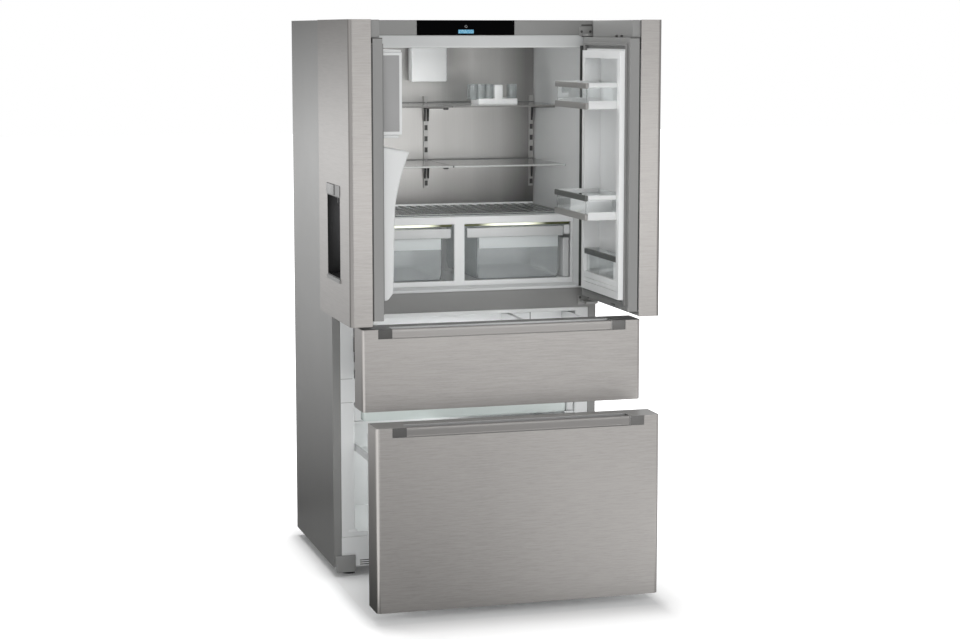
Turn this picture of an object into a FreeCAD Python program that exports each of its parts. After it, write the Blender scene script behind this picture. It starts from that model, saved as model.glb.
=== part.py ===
"""French-door refrigerator with an ice maker in its left door, shown with doors and drawers open.

Millimetres, +X to the right, +Y to the back, +Z up. The origin is on the floor, midway across the
cabinet, in the plane of the cabinet's front frame. Doors and drawers are drawn shut and then moved
to the pose in which the part is stored.
"""
import FreeCAD
import Part
import math
import os

Vec = FreeCAD.Vector

# Cabinet
WIDTH = 910.0
HEIGHT = 1830.0
DEPTH = 620.0
BASE_HEIGHT = 30.0
BASE_PLATE = 3.0
SHEET = 1.5
LINER_WALL = 3.0
SEAT_GAP = 0.3
FRAME_DEPTH = 12.0
FRAME_STRIP = 25.0
CONTROL_HEIGHT = 48.5
DISPLAY_WIDTH = 331.0
DISPLAY_THICK = 2.0

# Fronts, stacked from the floor up
FRONT_FLOOR_GAP = 36.0
LOWER_FRONT = 572.0
DRAWER_FRONT_GAP = 20.0
UPPER_FRONT = 256.5
DOOR_FRONT_GAP = 15.5
FRONT_THICK = 105.0
FRONT_GAP = 8.0
FRONT_RADIUS = 12.0
DOOR_SPACING = 5.0

# Fridge compartment
FRIDGE_WALL = 55.0
ROOM_DROP = 882.0
ROOM_TALL = 792.5
FRIDGE_DEPTH = 526.0
FRIDGE_TOP_BAND = 41.0
FRIDGE_FLOOR_LIP = 9.5
BAND_OVER_DOOR = 38.5
BAND_UNDER_DRAWER = 11.5
REAR_PANEL = 3.0
REAR_PANEL_INSET = 2.0

# Shelves
SHELF_DROPS = (284.0, 485.0)
SHELF_GLASS = 5.0
SHELF_FRONT = 150.0
SHELF_SPLIT = 4.0
SHELF_SIDE_GAP = 4.0
RAIL_WIDTH = 16.0
RAIL_DEPTH = 8.0
RAIL_TOP_DROP = 262.0
RAIL_BOTTOM_DROP = 583.0
RAIL_SLOT_TOP_DROP = 362.0
RAIL_SLOT_HEIGHT = 19.5
RAIL_SLOT_PITCH = 39.0
RAIL_SLOT_WIDTH = 6.0
RAIL_SLOT_DEPTH = 4.0
BRACKET_THICK = 4.0
BRACKET_LEG = 60.0
BRACKET_ARM = 260.0
BRACKET_ROOT = 16.0
BRACKET_TIP = 7.0

# Crispers
CRISPER_FACE = 80.0
CRISPER_FASCIA = 12.0
CRISPER_FRAME_HEIGHT = 232.0
CRISPER_RAIL = 25.0
CRISPER_RAIL_DEPTH = 62.0
CRISPER_SILL = 17.0
CRISPER_POST = 36.0
CRISPER_JAMB = 8.0
CRISPER_LEDGE = 12.0
COVER_GLASS = 6.0
CRISPER_WALL = 3.0
CRISPER_HEIGHT = 183.0
CRISPER_BACK_GAP = 13.0
CRISPER_RIGHT_GAP = 34.0
CRISPER_LEFT_GAP = 55.0
CRISPER_POST_GAP = 10.0
CRISPER_HANDLE = (10.0, 32.5)
CRISPER_FRONT_DROP = 7.8

# Air filter housing and egg tray
FILTER_SIZE = (127.0, 60.0, 119.0)
EGG_AT = (92.0, 272.0)
EGG_SIZE = (170.0, 104.0, 54.0)
EGG_BASE = 20.0
EGG_BASE_LEFT = 32.0
EGG_FIN = (28.0, 24.0)
EGG_FIN_AT = 89.0
EGG_WALL = 2.0

# Freezer compartment
FREEZER_WALL = 72.0
FREEZER_DEPTH = 510.0
FREEZER_CEILING_LIP = 12.0
FREEZER_SILL = 18.0
PLINTH_TOP = 132.0
DIVIDER_BELOW_UPPER = 44.0
DIVIDER_HEIGHT = 79.0
DIVIDER_DEPTH = 60.0
MACHINE_HEIGHT = 330.0
MACHINE_DEPTH = 220.0
MACHINE_INSULATION = 15.0
EVAPORATOR_ROOM = 70.0
EVAPORATOR_COVER = 3.0

# Freezer tray
TRAY_SIDE_GAP = 30.0
TRAY_HEIGHT = 58.0
TRAY_WALL = 3.0
TRAY_UNDER_DIVIDER = 9.0
LEDGE_WIDTH = 33.0
LEDGE_HEIGHT = 7.0

# Drawers
UPPER_TRAVEL = 321.5
LOWER_TRAVEL = 498.0
BOX_WALL = 3.0
BOX_COVER_GAP = 15.0
UPPER_BOX_SEAM = 160.0
BOX_SEAM_GAP = 10.0
BOX_CLEARANCE = 7.0
LOWER_BOX_STEP_GAP = 17.0
LOWER_BOX_TOP_GAP = 4.0
GRIP_NOTCH_SIDE = 51.0
GRIP_NOTCH_DEPTH = 30.0
GRIP_CAVITY_DEPTH = 56.0
GRIP_BAR_SIDE = 96.0
GRIP_CAVITY_BACK = 52.0
GRIP_BAR_FRONT = 4.0
GRIP_BAR_DEPTH = 12.0
GRIP_BAR_BOW = 1.5
GRIP_BAR_SHOULDER = 5.0
GRIP_BAR_GAP = 1.0

# Telescopic runners
RUNNER_HEIGHT = 24.0
RUNNER_MEMBER = 3.7
RUNNER_FRONT = 5.0
RUNNER_COVER_GAP = 10.0
RUNNER_LIFT = 30.0
LOWER_RUNNER_DROP = 90.0

# Door construction
SKIN_RETURN = 70.0
GROOVE = 5.0
GROOVE_INSET = 6.0
INNER_TOP_DROP = 55.0
CAP_HEIGHT = 15.0
BEARING_CAP = 18.0
FRAME_HINGE_WIDTH = 38.0
FRAME_FREE_WIDTH = 29.5
FRAME_END_WIDTH = 27.0
GASKET_WIDTH = 9.0
GASKET_INSET = 10.0
GASKET_AIR = 0.4

# Door hinges
PIVOT_IN = 20.0
PIVOT_BACK = 66.0
PIN_RADIUS = 6.0
PIN_CLEARANCE = 0.05
PIN_LENGTH = 16.0
HINGE_PLATE = 8.0
HINGE_AIR = 3.0
HINGE_BOSS = 11.0
HINGE_ARM = (5.0, 35.0)
HINGE_FOOT = (45.0, 3.0, 30.0)
DOOR_OPEN = 90.0

# Right door liner and racks
DIKE_HEIGHT = 24.0
DIKE_WIDTH = 24.0
DIKE_MOUTH_GAP = 8.0
DIKE_FLOOR_GAP = 3.0
POCKET_DEPTH = 30.0
RACK_WALL = 3.0
RACK_RIM = (12.0, 16.0)
RACK_FRONT = 120.0
LOWER_RACK_FRONT = 15.0
RACK_TOPS = {"upper_rack": 196.0, "middle_rack": 548.0, "lower_rack": 745.0}
RACK_HEIGHTS = {"upper_rack": 82.0, "middle_rack": 79.0, "lower_rack": 95.0}

# Dispenser and ice maker in the left door
DISPENSER_WIDTH = 184.0
DISPENSER_TOP_DROP = 508.0
BEZEL_HEIGHT = 34.0
NICHE_BOTTOM_DROP = 798.0
DRIP_HEIGHT = 12.0
DRIP_PROUD = 4.0
BEZEL_PROUD = 1.5
NICHE_WALL = 3.0
SPOUT_RADIUS = 11.0
SPOUT_LENGTH = 26.0
SPOUT_BACK = 24.0
PADDLE_WIDTH = 70.0
PADDLE_LENGTH = 125.0
PADDLE_THICK = 4.0
PADDLE_BEHIND = 68.0
PADDLE_DROP = 36.0
PADDLE_AXLE = 3.0
EAR_THICK = 5.0
EAR_REACH = 7.0
HOUSING_HINGE_INSET = 70.0
HOUSING_FREE_INSET = 32.5
HOUSING_TOP_DROP = 382.0
HOUSING_TIP_FALL = 18.0
HOUSING_TIP = 92.0
HOUSING_NECK_DROP = 569.0
HOUSING_NECK = 46.0
HOUSING_SAG = 5.8
HOUSING_FOOT = 39.0
HOUSING_FOOT_DROP = 832.0
HOUSING_BOTTOM_DROP = 856.0
HOUSING_BOTTOM = 20.0
ICE_BOX_TOP_DROP = 99.0
ICE_BOX_BOTTOM_DROP = 348.0
ICE_BOX_DEPTH = 68.0
ICE_BOX_WALL = 3.0
ICE_TRAY_SIZE = (250.0, 40.0, 24.0)
ICE_TRAY_DROP = 60.0
ICE_TRAY_WALL = 2.0
ICE_TRAY_ROWS = 7
ICE_AXLE = 4.0
ICE_BIN_HEIGHT = 140.0
ICE_BIN_WALL = 2.5
ICE_BIN_GAP = 6.0

# Base, cooling machinery and water inlet
FOOT_RADIUS = 22.0
FOOT_DISC = 10.0
FOOT_STEM = 6.0
FOOT_INSET = (60.0, 50.0)
FOOT_COVER = (66.0, 7.0, 57.0)
FOOT_COVER_AT = (6.0, 14.0)
VENT_SLOT = (60.0, 10.0)
VENT_SLOT_PITCH = 74.0
VENT_SLOT_COUNT = 9
VENT_SLOT_LIFT = 6.0
COVER_SLOT = (240.0, 8.0)
COVER_SLOT_PITCH = 20.0
COVER_SLOT_COUNT = 8
COVER_SLOT_LIFT = 60.0
COVER_SEAM = 1.0
COMPRESSOR_AT = (230.0, 110.0)
COMPRESSOR_RADIUS = 80.0
COMPRESSOR_HEIGHT = 165.0
COMPRESSOR_FOOT = (11.0, 14.0)
COMPRESSOR_FOOT_CIRCLE = 62.0
COMPRESSOR_FEET = 4
COMPRESSOR_ROUND = 26.0
CONDENSER_SIDE = 55.0
CONDENSER_WIDTH = 250.0
CONDENSER_Y = (190.0, 30.0)
CONDENSER_HEIGHT = 190.0
CONDENSER_FIN = 4.0
CONDENSER_FINS = 14
CONDENSER_HEADER = 16.0
EVAPORATOR_SIZE = (480.0, 56.0, 150.0)
EVAPORATOR_LIFT = 60.0
EVAPORATOR_FINS = 16
EVAPORATOR_FIN = 6.0
EVAPORATOR_HEADER = 14.0
FAN_DROP = 120.0
FAN_RADIUS = 50.0
FAN_DEPTH = 22.0
FAN_HUB = 18.0
FAN_BLADES = 5
FAN_BLADE = 3.0
FAN_PITCH = 25.0
FAN_OPENING = 56.0
FAN_SHAFT = 4.0
FAN_STANDOFF = 4.0
SPIDER_ARM = 8.0
VALVE_AT = (-60.0, 90.0)
VALVE_BODY = (52.0, 60.0, 52.0)
INLET_RADIUS = 13.2
INLET_LENGTH = 20.0
INLET_OPENING = 30.0

# Derived places
HALF = WIDTH / 2
INSIDE = HALF - SHEET
ROOF = HEIGHT - SHEET
REAR = DEPTH - SHEET
FLOOR_TOP = BASE_HEIGHT + BASE_PLATE
MOUTH = INSIDE - FRAME_STRIP
LOWER_LOW = FRONT_FLOOR_GAP
LOWER_HIGH = LOWER_LOW + LOWER_FRONT
UPPER_LOW = LOWER_HIGH + DRAWER_FRONT_GAP
UPPER_HIGH = UPPER_LOW + UPPER_FRONT
DOOR_LOW = UPPER_HIGH + DOOR_FRONT_GAP
BAND_LOW = UPPER_HIGH - BAND_UNDER_DRAWER
BAND_HIGH = DOOR_LOW + BAND_OVER_DOOR
CONTROL_LOW = HEIGHT - CONTROL_HEIGHT
FACE = -FRONT_GAP - FRONT_THICK
BACK = -FRONT_GAP
RETURN_END = FACE + SKIN_RETURN
INNER_START = RETURN_END + GROOVE

FRIDGE_X = HALF - FRIDGE_WALL
FRIDGE_CEILING = CONTROL_LOW - FRIDGE_TOP_BAND
FRIDGE_FLOOR = BAND_HIGH + FRIDGE_FLOOR_LIP
STRETCH = (FRIDGE_CEILING - FRIDGE_FLOOR) / ROOM_TALL
PANEL_FACE = FRIDGE_DEPTH - REAR_PANEL
RAIL_FACE = PANEL_FACE - RAIL_DEPTH
COVER_LOW = FRIDGE_FLOOR + CRISPER_FRAME_HEIGHT - COVER_GLASS / 2
CRISPER_LOW = FRIDGE_FLOOR + CRISPER_SILL + SEAT_GAP
CRISPER_BACK = FRIDGE_DEPTH - REAR_PANEL_INSET - CRISPER_LEDGE - CRISPER_BACK_GAP
CRISPER_LEFT = -FRIDGE_X + CRISPER_LEFT_GAP
CRISPER_RIGHT = FRIDGE_X - CRISPER_RIGHT_GAP

FREEZER_X = HALF - FREEZER_WALL
FREEZER_CEILING = BAND_LOW - FREEZER_CEILING_LIP
FREEZER_FLOOR = PLINTH_TOP + FREEZER_SILL
STEP_FLOOR = MACHINE_HEIGHT + MACHINE_INSULATION
MACHINE_FRONT = DEPTH - MACHINE_DEPTH
STEP_WALL = MACHINE_FRONT - MACHINE_INSULATION - LINER_WALL
EVAPORATOR_COVER_AT = FREEZER_DEPTH - EVAPORATOR_ROOM
BOX_BACK = EVAPORATOR_COVER_AT - BOX_COVER_GAP
LOWER_BOX_BACK = STEP_WALL - LOWER_BOX_STEP_GAP
RUNNER_END = EVAPORATOR_COVER_AT - RUNNER_COVER_GAP
DIVIDER_LOW = UPPER_LOW - DIVIDER_BELOW_UPPER
DIVIDER_HIGH = DIVIDER_LOW + DIVIDER_HEIGHT
TRAY_HIGH = DIVIDER_LOW - TRAY_UNDER_DIVIDER
TRAY_LOW = TRAY_HIGH - TRAY_HEIGHT
LEDGE_HIGH = TRAY_LOW - SEAT_GAP
LEDGE_LOW = LEDGE_HIGH - LEDGE_HEIGHT
UPPER_RUNNER = DIVIDER_HIGH + RUNNER_LIFT
LOWER_RUNNER = LEDGE_LOW - LOWER_RUNNER_DROP
MEMBER_PITCH = RUNNER_MEMBER + SEAT_GAP
BOX_X = FREEZER_X - 3 * MEMBER_PITCH


def level(drop):
    """Height of a place drawn at a drop below the top; it keeps its share of the fridge room."""
    return FRIDGE_FLOOR + (ROOM_DROP - drop) * STRETCH


DOOR_HINGE = -HALF
DOOR_FREE = -DOOR_SPACING / 2
PIVOT_X = DOOR_HINGE + PIVOT_IN
PIVOT_Y = FACE + PIVOT_BACK
PIVOT = Vec(PIVOT_X, PIVOT_Y, 0)
UP = Vec(0, 0, 1)
ACROSS = Vec(1, 0, 0)
BACKWARD = Vec(0, 1, 0)
CORE_LOW = DOOR_LOW + CAP_HEIGHT + SHEET
INNER_HIGH = HEIGHT - INNER_TOP_DROP
CORE_HIGH = INNER_HIGH - BEARING_CAP
LINER_HINGE = DOOR_HINGE + FRAME_HINGE_WIDTH
LINER_FREE = DOOR_FREE - FRAME_FREE_WIDTH
LINER_LOW = CORE_LOW + FRAME_END_WIDTH
LINER_HIGH = INNER_HIGH - FRAME_END_WIDTH

DISPENSER_X = (DOOR_HINGE + DOOR_FREE) / 2
DISPENSER_HIGH = level(DISPENSER_TOP_DROP)
NICHE_HIGH = DISPENSER_HIGH - BEZEL_HEIGHT
NICHE_LOW = level(NICHE_BOTTOM_DROP)
DISPENSER_LOW = NICHE_LOW - DRIP_HEIGHT
DISPENSER_LEFT = DISPENSER_X - DISPENSER_WIDTH / 2
DISPENSER_RIGHT = DISPENSER_X + DISPENSER_WIDTH / 2
AXLE_Y = BACK - PADDLE_BEHIND + PADDLE_THICK / 2
AXLE_Z = NICHE_HIGH - PADDLE_DROP
HOUSING_LEFT = DOOR_HINGE + HOUSING_HINGE_INSET
HOUSING_RIGHT = DOOR_FREE - HOUSING_FREE_INSET
ICE_HIGH = level(ICE_BOX_TOP_DROP)
ICE_LOW = level(ICE_BOX_BOTTOM_DROP)
ICE_FACE = BACK + ICE_BOX_DEPTH
ICE_X = (HOUSING_LEFT + HOUSING_RIGHT) / 2
ICE_Y = (BACK + ICE_FACE) / 2
ICE_Z = ICE_HIGH - ICE_TRAY_DROP

DIKE_HINGE = -FRIDGE_X + DIKE_MOUTH_GAP
DIKE_LOW = FRIDGE_FLOOR + DIKE_FLOOR_GAP
DIKE_HIGH = FRIDGE_CEILING - DIKE_MOUTH_GAP
POCKET_FLOOR = BACK - POCKET_DEPTH
POCKET_HINGE = DIKE_HINGE + DIKE_WIDTH
POCKET_FREE = LINER_FREE - DIKE_WIDTH


def block(x0, x1, y0, y1, z0, z1):
    """A box between two corners."""
    return Part.makeBox(x1 - x0, y1 - y0, z1 - z0, Vec(x0, y0, z0))


def both_sides(x0, x1, y0, y1, z0, z1):
    """A box and its mirror image across the middle of the cabinet."""
    return [block(x0, x1, y0, y1, z0, z1), block(-x1, -x0, y0, y1, z0, z1)]


def rod(radius, length, at, direction):
    """A round bar from a point along a direction."""
    return Part.makeCylinder(radius, length, at, direction)


def join(first, *others):
    """One solid from pieces that touch or overlap."""
    return first.fuse(list(others)).removeSplitter()


def open_box(x0, x1, y0, y1, z0, z1, wall):
    """A box with a floor and four walls, open on top."""
    return block(x0, x1, y0, y1, z0, z1).cut(block(x0 + wall, x1 - wall, y0 + wall, y1 - wall, z0 + wall, z1))


def rounded_front(x0, x1, y0, y1, z0, z1, radius):
    """A box whose two upright edges on the front are rounded."""
    solid = block(x0, x1, y0, y1, z0, z1)
    edges = [e for e in solid.Edges if is_upright(e) and abs(e.CenterOfMass.y - y0) < radius / 2]
    return solid.makeFillet(radius, edges)


def is_upright(edge):
    """True for a straight edge along Z."""
    ends = [v.Point for v in edge.Vertexes]
    return abs(abs(ends[0].z - ends[-1].z) - edge.Length) < SEAT_GAP


def prism_x(points, x0, x1):
    """A solid along X with straight sides through (y, z) points."""
    ring = [Vec(x0, y, z) for y, z in points]
    face = Part.Face(Part.makePolygon(ring + ring[:1]))
    return face.extrude(Vec(x1 - x0, 0, 0))


def mirrored(shape):
    """The shape for the other side of the cabinet."""
    return shape.mirror(Vec(0, 0, 0), Vec(1, 0, 0))


def swung(shape):
    """A shut left door's piece, moved to the stored pose."""
    turned = shape.copy()
    turned.rotate(PIVOT, UP, -DOOR_OPEN)
    return turned


def pulled(shape, travel):
    """A shut drawer's piece, moved to the stored pose."""
    moved = shape.copy()
    moved.translate(Vec(0, -travel, 0))
    return moved


def frame_ring(outer, inner, y0, y1):
    """A flat rectangular ring; outer and inner are (x0, x1, z0, z1)."""
    solid = block(outer[0], outer[1], y0, y1, outer[2], outer[3])
    return solid.cut(block(inner[0], inner[1], y0, y1, inner[2], inner[3]))


def cabinet_shell():
    """Steel wrap: two sides and the top in one folded sheet."""
    outer = block(-HALF, HALF, 0, REAR, BASE_HEIGHT, HEIGHT)
    return outer.cut(block(-INSIDE, INSIDE, 0, REAR, BASE_HEIGHT, ROOF))


def back_panels():
    """Upper back sheet, and the slotted cover of the machine room below it."""
    upper = block(-HALF, HALF, REAR, DEPTH, MACHINE_HEIGHT + COVER_SEAM, HEIGHT)
    cover = block(-HALF, HALF, REAR, DEPTH, BASE_HEIGHT, MACHINE_HEIGHT)
    for side in (-1, 1):
        middle = side * (HALF / 2)
        for i in range(COVER_SLOT_COUNT):
            low = BASE_HEIGHT + COVER_SLOT_LIFT + i * COVER_SLOT_PITCH
            cover = cover.cut(block(middle - COVER_SLOT[0] / 2, middle + COVER_SLOT[0] / 2,
                                    REAR, DEPTH, low, low + COVER_SLOT[1]))
    inlet = rod(INLET_OPENING, SHEET, Vec(VALVE_AT[0], REAR, VALVE_AT[1]), BACKWARD)
    return Part.makeCompound([upper, cover.cut(inlet)])


def base_plate():
    """Steel floor that carries the machinery and the feet."""
    return block(-INSIDE, INSIDE, 0, REAR, BASE_HEIGHT, FLOOR_TOP)


def fridge_room(grow):
    """The fridge compartment's space, grown by a wall."""
    return block(-FRIDGE_X - grow, FRIDGE_X + grow, 0, FRIDGE_DEPTH + grow,
                 FRIDGE_FLOOR - grow, FRIDGE_CEILING + grow)


def freezer_room(grow):
    """The freezer compartment's space with the step over the machine room, grown by a wall."""
    tall = block(-FREEZER_X - grow, FREEZER_X + grow, 0, STEP_WALL + grow,
                 FREEZER_FLOOR - grow, FREEZER_CEILING + grow)
    deep = block(-FREEZER_X - grow, FREEZER_X + grow, 0, FREEZER_DEPTH + grow,
                 STEP_FLOOR - grow, FREEZER_CEILING + grow)
    return join(tall, deep)


def insulation_foam():
    """Foam that fills the space between the shell and the liners."""
    solid = block(-INSIDE, INSIDE, FRAME_DEPTH, REAR, FLOOR_TOP, ROOF)
    machine = block(-INSIDE, INSIDE, MACHINE_FRONT, REAR, FLOOR_TOP, MACHINE_HEIGHT)
    return solid.cut([fridge_room(LINER_WALL), freezer_room(LINER_WALL), machine])


def front_frame():
    """Painted frame round both mouths, with the cross band and the control strip."""
    solid = block(-INSIDE, INSIDE, 0, FRAME_DEPTH, FLOOR_TOP, ROOF)
    fridge = block(-MOUTH, MOUTH, 0, FRAME_DEPTH, BAND_HIGH, CONTROL_LOW)
    freezer = block(-MOUTH, MOUTH, 0, FRAME_DEPTH, FLOOR_TOP, BAND_LOW)
    return solid.cut([fridge, freezer])


def plinth():
    """Panel under the freezer mouth with a row of air slots."""
    solid = block(-MOUTH, MOUTH, 0, FRAME_DEPTH, FLOOR_TOP, PLINTH_TOP)
    low = FLOOR_TOP + VENT_SLOT_LIFT
    for i in range(VENT_SLOT_COUNT):
        middle = (i - (VENT_SLOT_COUNT - 1) / 2) * VENT_SLOT_PITCH
        solid = solid.cut(block(middle - VENT_SLOT[0] / 2, middle + VENT_SLOT[0] / 2,
                                0, FRAME_DEPTH, low, low + VENT_SLOT[1]))
    return solid


def foot_covers():
    """Small covers over the front feet."""
    wide, deep, tall = FOOT_COVER
    outer = HALF - FOOT_COVER_AT[0]
    low = FOOT_COVER_AT[1]
    return Part.makeCompound(both_sides(outer - wide, outer, -deep, 0, low, low + tall))


def levelling_feet():
    """Four adjustable feet: a disc on a stem that meets the base plate."""
    feet = []
    for x in (-HALF + FOOT_INSET[0], HALF - FOOT_INSET[0]):
        for y in (FOOT_INSET[1], DEPTH - FOOT_INSET[1]):
            disc = rod(FOOT_RADIUS, FOOT_DISC, Vec(x, y, 0), UP)
            feet.append(join(disc, rod(FOOT_STEM, BASE_HEIGHT, Vec(x, y, 0), UP)))
    return Part.makeCompound(feet)


def fridge_liner():
    """White inner shell of the fridge compartment with its front flange."""
    flange = block(-MOUTH, MOUTH, 0, FRAME_DEPTH, BAND_HIGH, CONTROL_LOW)
    shell = fridge_room(LINER_WALL).cut(block(-INSIDE, INSIDE, 0, FRAME_DEPTH, 0, HEIGHT))
    return join(flange, shell).cut(fridge_room(0))


def freezer_liner():
    """White inner shell of the freezer with its flange, tray ledges and the bar between the drawers."""
    flange = block(-MOUTH, MOUTH, 0, FRAME_DEPTH, PLINTH_TOP, BAND_LOW)
    shell = freezer_room(LINER_WALL).cut(block(-INSIDE, INSIDE, 0, FRAME_DEPTH, 0, HEIGHT))
    bar = block(-FREEZER_X, FREEZER_X, 0, DIVIDER_DEPTH, DIVIDER_LOW, DIVIDER_HIGH)
    ledges = both_sides(FREEZER_X - LEDGE_WIDTH, FREEZER_X, FRAME_DEPTH, BOX_BACK, LEDGE_LOW, LEDGE_HIGH)
    return join(join(flange, shell).cut(freezer_room(0)), bar, *ledges)


def display_glass():
    """Dark glass of the control strip."""
    return block(-DISPLAY_WIDTH / 2, DISPLAY_WIDTH / 2, -DISPLAY_THICK, 0, CONTROL_LOW, HEIGHT)


def rear_wall_panel():
    """Brushed sheet on the back wall of the fridge compartment."""
    side = FRIDGE_X - REAR_PANEL_INSET
    return block(-side, side, PANEL_FACE, FRIDGE_DEPTH, COVER_LOW + COVER_GLASS + REAR_PANEL_INSET,
                 FRIDGE_CEILING - REAR_PANEL_INSET)


def rail_places():
    """X of the middle and side shelf rails."""
    side = FRIDGE_X - SHELF_SIDE_GAP - RAIL_WIDTH / 2
    return (-side, 0.0, side)


def shelf_rails():
    """Three slotted uprights that the shelf brackets hook into, as a list."""
    rails = []
    slots = int((RAIL_BOTTOM_DROP - RAIL_SLOT_TOP_DROP) / RAIL_SLOT_PITCH)
    for x in rail_places():
        rail = block(x - RAIL_WIDTH / 2, x + RAIL_WIDTH / 2, RAIL_FACE, PANEL_FACE,
                     level(RAIL_BOTTOM_DROP), level(RAIL_TOP_DROP))
        for i in range(slots):
            top = level(RAIL_SLOT_TOP_DROP + i * RAIL_SLOT_PITCH)
            rail = rail.cut(block(x - RAIL_SLOT_WIDTH / 2, x + RAIL_SLOT_WIDTH / 2, RAIL_FACE,
                                  RAIL_FACE + RAIL_SLOT_DEPTH, top - RAIL_SLOT_HEIGHT * STRETCH, top))
        rails.append(rail)
    return rails


def shelf_bracket(x, top):
    """A cantilever under a shelf: a leg on the rail and an arm that thins towards the front."""
    heel = RAIL_FACE - BRACKET_ROOT
    points = [(RAIL_FACE, top), (RAIL_FACE, top - BRACKET_LEG), (heel + BRACKET_TIP, top - BRACKET_LEG),
              (heel, top - BRACKET_ROOT), (RAIL_FACE - BRACKET_ARM, top - BRACKET_TIP),
              (RAIL_FACE - BRACKET_ARM, top)]
    return prism_x(points, x - BRACKET_THICK / 2, x + BRACKET_THICK / 2)


def shelf_supports():
    """The rails, and two brackets under each half shelf."""
    side = rail_places()[2]
    middle = RAIL_WIDTH / 2 - BRACKET_THICK / 2
    places = (-side, -middle, middle, side)
    brackets = [shelf_bracket(x, level(drop) - SHELF_GLASS) for drop in SHELF_DROPS for x in places]
    return Part.makeCompound(shelf_rails() + brackets)


def glass_shelves():
    """Left and right glass plates of each shelf level."""
    back = RAIL_FACE - SEAT_GAP
    plates = []
    for drop in SHELF_DROPS:
        plates += both_sides(SHELF_SPLIT / 2, FRIDGE_X - SHELF_SIDE_GAP, SHELF_FRONT, back,
                             level(drop) - SHELF_GLASS, level(drop))
    return Part.makeCompound(plates)


def crisper_frame():
    """White frame with two drawer openings and the ledges that carry the cover glass and the drawers."""
    side = FRIDGE_X - SEAT_GAP
    opening_side = side - CRISPER_JAMB
    top = FRIDGE_FLOOR + CRISPER_FRAME_HEIGHT
    opening_top = top - CRISPER_RAIL
    inside = CRISPER_FACE + CRISPER_FASCIA
    back = FRIDGE_DEPTH - REAR_PANEL_INSET
    sill = FRIDGE_FLOOR + CRISPER_SILL
    ledge = COVER_LOW - CRISPER_LEDGE
    fascia = block(-side, side, CRISPER_FACE, inside, FRIDGE_FLOOR, top)
    fascia = fascia.cut(both_sides(CRISPER_POST / 2, opening_side, CRISPER_FACE, inside, sill, opening_top))
    rail = block(-side, side, inside, CRISPER_FACE + CRISPER_RAIL_DEPTH, opening_top, top)
    bars = both_sides(opening_side, side, inside, back, ledge, COVER_LOW)
    bars.append(block(-CRISPER_POST_GAP, CRISPER_POST_GAP, inside, back, ledge, COVER_LOW))
    bars.append(block(-side, side, back - CRISPER_LEDGE, back, ledge, COVER_LOW))
    runners = [block(-side, CRISPER_LEFT + CRISPER_LEDGE, inside, back, FRIDGE_FLOOR, sill),
               block(-CRISPER_POST, CRISPER_POST, inside, back, FRIDGE_FLOOR, sill),
               block(CRISPER_RIGHT - CRISPER_LEDGE, side, inside, back, FRIDGE_FLOOR, sill)]
    return join(fascia, rail, *bars, *runners)


def crisper_cover_glass():
    """Two glass plates over the crispers."""
    return Part.makeCompound(both_sides(SHELF_SPLIT / 2, FRIDGE_X - SHELF_SIDE_GAP,
                                        CRISPER_FACE + CRISPER_RAIL_DEPTH, FRIDGE_DEPTH - REAR_PANEL_INSET,
                                        COVER_LOW, COVER_LOW + COVER_GLASS))


def crisper(x0, x1):
    """A clear drawer with a lower front and a grip rail across it."""
    front = CRISPER_FACE + CRISPER_FASCIA + CRISPER_WALL
    high = CRISPER_LOW + CRISPER_HEIGHT
    deep, tall = CRISPER_HANDLE
    body = open_box(x0, x1, front, CRISPER_BACK, CRISPER_LOW, high, CRISPER_WALL)
    drop = block(x0, x1, front, front + CRISPER_WALL, high - CRISPER_FRONT_DROP, high)
    rail = block(x0, x1, front - deep, front, high - CRISPER_FRONT_DROP - tall, high - CRISPER_FRONT_DROP)
    return join(body.cut(drop), rail)


def left_crisper():
    """The crisper that clears the dispenser housing of the open left door."""
    return crisper(CRISPER_LEFT, -CRISPER_POST / 2 - CRISPER_POST_GAP)


def right_crisper():
    """The crisper that clears the liner of the open right door."""
    return crisper(CRISPER_POST / 2 + CRISPER_POST_GAP, CRISPER_RIGHT)


def air_filter_box():
    """Housing of the air filter on the back wall."""
    wide, deep, tall = FILTER_SIZE
    top = FRIDGE_CEILING - REAR_PANEL_INSET
    return block(-wide / 2, wide / 2, PANEL_FACE - deep, PANEL_FACE, top - tall, top)


def egg_tray():
    """Egg holder on the upper shelf: a base with an upright grip fin, and a cup row beside it."""
    x, y = EGG_AT
    wide, deep, tall = EGG_SIZE
    low = level(SHELF_DROPS[0])
    base = block(x + EGG_BASE_LEFT, x + wide, y, y + deep, low, low + EGG_BASE)
    fin_x = x + EGG_FIN_AT
    fin = block(fin_x, fin_x + EGG_FIN[0], y, y + EGG_FIN[1], low, low + tall + EGG_FIN[1] / 2)
    cups = open_box(x, x + EGG_BASE_LEFT, y, y + deep, low, low + tall, EGG_WALL)
    return join(base, fin, cups)


def hinge_bracket(low, foot_low, pin_low):
    """A left hinge bracket: wall foot, arm, boss and pin."""
    arm = block(PIVOT_X + HINGE_ARM[0], PIVOT_X + HINGE_ARM[1], PIVOT_Y, 0, low, low + HINGE_PLATE)
    eye = Vec(PIVOT_X, PIVOT_Y, low)
    link = block(PIVOT_X, PIVOT_X + HINGE_ARM[1], PIVOT_Y - HINGE_BOSS, PIVOT_Y + HINGE_BOSS / 2,
                 low, low + HINGE_PLATE).common(rod(HINGE_ARM[1], HINGE_PLATE, eye, UP))
    boss = rod(HINGE_BOSS, HINGE_PLATE, eye, UP)
    wide, deep, tall = HINGE_FOOT
    foot = block(PIVOT_X, PIVOT_X + wide, -deep, 0, foot_low, foot_low + tall)
    pin = rod(PIN_RADIUS, PIN_LENGTH + HINGE_PLATE, Vec(PIVOT_X, PIVOT_Y, pin_low), UP)
    return join(arm, link, boss, foot, pin)


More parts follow.
